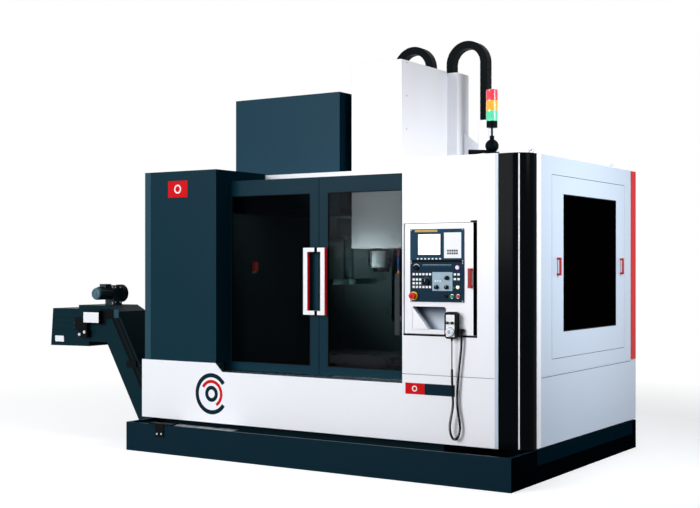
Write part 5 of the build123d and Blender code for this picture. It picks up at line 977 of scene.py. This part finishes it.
# Cords of the hand pendant: their routes, radii, and the winding of the curly one
STRAIGHT = [(1003, -860, 868), (1003, -860, 786), (1004, -861, 700)]
CURLY = [
    (1004, -861, 700), (1005, -862, 614), (1013, -867, 538), (1018, -871, 464),
    (1003, -871, 394), (990, -868, 330), (998, -864, 274), (1024, -860, 246),
    (1049, -855, 274), (1058, -851, 332), (1046, -850, 398), (1033, -849, 468),
    (1034, -850, 546), (1041, -849, 626), (1049, -850, 704), (1058, -849, 780),
    (1066, -850, 850), (1066, -850, 913),
]
LEAD_RADIUS = 3.5
WIRE = 2.4
COIL = 6.1
PITCH = 6.2
TURN_STEPS = 14
COIL_END = 0.012


def tube(name, radius, smoothness):
    """Curve without points yet, drawn as a round tube."""
    data = bpy.data.curves.new(name, "CURVE")
    data.dimensions = "3D"
    data.bevel_depth = radius * MM
    data.bevel_resolution = smoothness
    return add_object(name, data)


def fill_points(spline, points):
    """Sets a spline's points, given in millimetres."""
    spline.points.add(len(points) - 1)
    for point, place in zip(spline.points, points):
        point.co = (*[c * MM for c in place], 1.0)


def route(name, points, radius):
    """Smooth tube through control points."""
    obj = tube(name, radius, 6)
    obj.data.resolution_u = 24
    spline = obj.data.splines.new("NURBS")
    fill_points(spline, points)
    spline.order_u = 3
    spline.use_endpoint_u = True
    return obj


def walked(line):
    """Length of a line of points, in its own unit."""
    return sum((b - a).length for a, b in zip(line, line[1:]))


def traced(points):
    """Points along a smooth route, in metres, read from a guide that is removed again."""
    guide = route("guide", points, 0.0)
    bpy.context.view_layer.update()
    mesh = bpy.data.meshes.new_from_object(guide)
    line = [v.co.copy() for v in mesh.vertices]
    bpy.data.meshes.remove(mesh)
    bpy.data.objects.remove(guide)
    return line


def helix_along(line, radius, pitch, steps):
    """Points of a helix that winds around a line, eased in and out at its ends, in millimetres."""
    sample, total = [], 0.0
    for a, b in zip(line, line[1:]):
        sample.append((total, a, (b - a).normalized()))
        total += (b - a).length
    sample.append((total, line[-1], (line[-1] - line[-2]).normalized()))
    turns = total / (pitch * MM)
    count = int(turns * steps)
    side_vector = Vector((0, 1, 0))
    points, k = [], 0
    for i in range(count + 1):
        s = total * i / count
        while k < len(sample) - 2 and sample[k + 1][0] < s:
            k += 1
        s0, p0, t0 = sample[k]
        s1, p1, t1 = sample[k + 1]
        share = 0 if s1 == s0 else (s - s0) / (s1 - s0)
        tangent = t0.lerp(t1, share).normalized()
        side_vector = (side_vector - tangent * side_vector.dot(tangent)).normalized()
        other = tangent.cross(side_vector)
        angle = 2 * math.pi * turns * i / count
        ease = min(1.0, s / COIL_END, (total - s) / COIL_END)
        offset = (side_vector * math.cos(angle) + other * math.sin(angle)) * radius * MM * ease
        points.append((p0.lerp(p1, share) + offset) / MM)
    return points


lead = place_piece(route("cord_lead", STRAIGHT, LEAD_RADIUS), RUBBER, "operator_panel")
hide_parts("cord_straight")
walked(traced(STRAIGHT))

helix = helix_along(traced(CURLY), COIL, PITCH, TURN_STEPS)
coil = tube("cord_coil", WIRE, 2)
coil_line = coil.data.splines.new("POLY")
fill_points(coil_line, helix)
coil_line.use_smooth = True
place_piece(coil, RUBBER, "operator_panel")
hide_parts("cord_curly")


def larger(tree, first, second):
    """Output with the larger of two values."""
    node = tree.nodes.new("ShaderNodeMath")
    node.operation = "MAXIMUM"
    tree.links.new(first, node.inputs[0])
    tree.links.new(second, node.inputs[1])
    return node.outputs["Value"]


def background_rays(tree):
    """Output that is 1 for rays that see the background: from the camera, mirrors and glass."""
    rays = tree.nodes.new("ShaderNodeLightPath").outputs
    reflected = larger(tree, rays["Is Glossy Ray"], rays["Is Transmission Ray"])
    return larger(tree, rays["Is Camera Ray"], reflected)


def mixed(tree, share, first, second):
    """Shader output that mixes two shaders by a share."""
    mix = tree.nodes.new("ShaderNodeMixShader")
    tree.links.new(share, mix.inputs["Fac"])
    tree.links.new(first, mix.inputs[1])
    tree.links.new(second, mix.inputs[2])
    return mix.outputs["Shader"]


def white_world(light_color, light_strength):
    """World that lights the object softly and shows as white."""
    world = bpy.data.worlds.new("studio")
    bpy.context.scene.world = world
    world.use_nodes = True
    tree = world.node_tree
    soft = tree.nodes["Background"]
    soft.inputs["Color"].default_value = light_color
    soft.inputs["Strength"].default_value = light_strength
    white = tree.nodes.new("ShaderNodeBackground")
    white.inputs["Color"].default_value = (1, 1, 1, 1)
    white.inputs["Strength"].default_value = 1.0
    light, picture = soft.outputs["Background"], white.outputs["Background"]
    shown = mixed(tree, background_rays(tree), light, picture)
    tree.links.new(shown, tree.nodes["World Output"].inputs["Surface"])


def matt(tree, color):
    """Output of a plain matt shader."""
    shader = tree.nodes.new("ShaderNodeBsdfDiffuse")
    shader.inputs["Color"].default_value = color
    return shader.outputs["BSDF"]


def white_glow(tree, strength):
    """Output of a shader that gives white light."""
    shader = tree.nodes.new("ShaderNodeEmission")
    shader.inputs["Strength"].default_value = strength
    return shader.outputs["Emission"]


def white_floor(size, near_radius, far_radius, lift, bounce_color, seen_color):
    """Pale floor that keeps the object's shadow and turns into the white background further out."""
    bpy.ops.mesh.primitive_plane_add(size=size, location=(0, 0, -0.0005))
    floor = bpy.context.object
    floor.name = "floor"
    m = bpy.data.materials.new("floor_pale")
    m.use_nodes = True
    tree = m.node_tree
    nodes, links = tree.nodes, tree.links
    nodes.clear()
    lifted = nodes.new("ShaderNodeAddShader")
    links.new(matt(tree, seen_color), lifted.inputs[0])
    links.new(white_glow(tree, lift), lifted.inputs[1])
    place = nodes.new("ShaderNodeTexCoord")
    distance = nodes.new("ShaderNodeVectorMath")
    distance.operation = "LENGTH"
    links.new(place.outputs["Object"], distance.inputs[0])
    fade = nodes.new("ShaderNodeMapRange")
    fade.inputs["From Min"].default_value = near_radius
    fade.inputs["From Max"].default_value = far_radius
    links.new(distance.outputs["Value"], fade.inputs["Value"])
    outward = mixed(tree, fade.outputs["Result"], lifted.outputs["Shader"], white_glow(tree, 1.0))
    shown = mixed(tree, background_rays(tree), matt(tree, bounce_color), outward)
    links.new(shown, nodes.new("ShaderNodeOutputMaterial").inputs["Surface"])
    floor.data.materials.append(m)


def softbox(name, location, target, size, power, spread=180, color=(1, 1, 1), mirrored=True):
    """Soft light aimed at a point, in metres, with its spread in degrees."""
    data = bpy.data.lights.new(name, "AREA")
    data.shape = "RECTANGLE"
    data.size, data.size_y = size
    data.energy = power
    data.color = color
    data.spread = math.radians(spread)
    obj = add_object(name, data)
    obj.location = location
    obj.rotation_euler = (Vector(target) - Vector(location)).to_track_quat("-Z", "Y").to_euler()
    obj.visible_camera = False
    obj.visible_glossy = mirrored


white_world(light_color=(0.95, 0.97, 1.0, 1.0), light_strength=0.32)
white_floor(size=40, near_radius=3.2, far_radius=6.0, lift=0.55,
            bounce_color=srgb(140, 142, 146), seen_color=srgb(226, 228, 231))
softbox("key_light", location=(-3.2, -9.2, 3.4), target=(0, 0, 1.2), size=(5, 4), power=700)
softbox("fill_light", location=(5.0, -0.8, 3.2), target=(1.5, 0.1, 1.7), size=(2.2, 2.0),
        power=29, spread=55)
softbox("interior_light", location=(-0.36, -0.08, 1.14), target=(-0.05, 0.35, 1.42),
        size=(0.3, 0.15), power=14.0, spread=150, color=(0.82, 1.0, 1.0), mirrored=False)
softbox("wall_light", location=(-0.66, 0.4, 1.46), target=(-0.60, 0.74, 1.40), size=(0.45, 0.1),
        power=2.6, spread=115, mirrored=False)

# Camera at the photograph's viewing angle
camera_data = bpy.data.cameras.new("camera")
camera_data.lens = 61.71
camera_data.sensor_width = 36
camera_data.shift_y = 0.015
camera_data.clip_end = 200
camera = add_object("camera", camera_data)
camera.location = (4.557, -7.525, 1.350)
camera.rotation_euler = (math.radians(90), 0, math.radians(32.92))
bpy.context.scene.camera = camera
bpy.context.scene.view_settings.view_transform = "Standard"
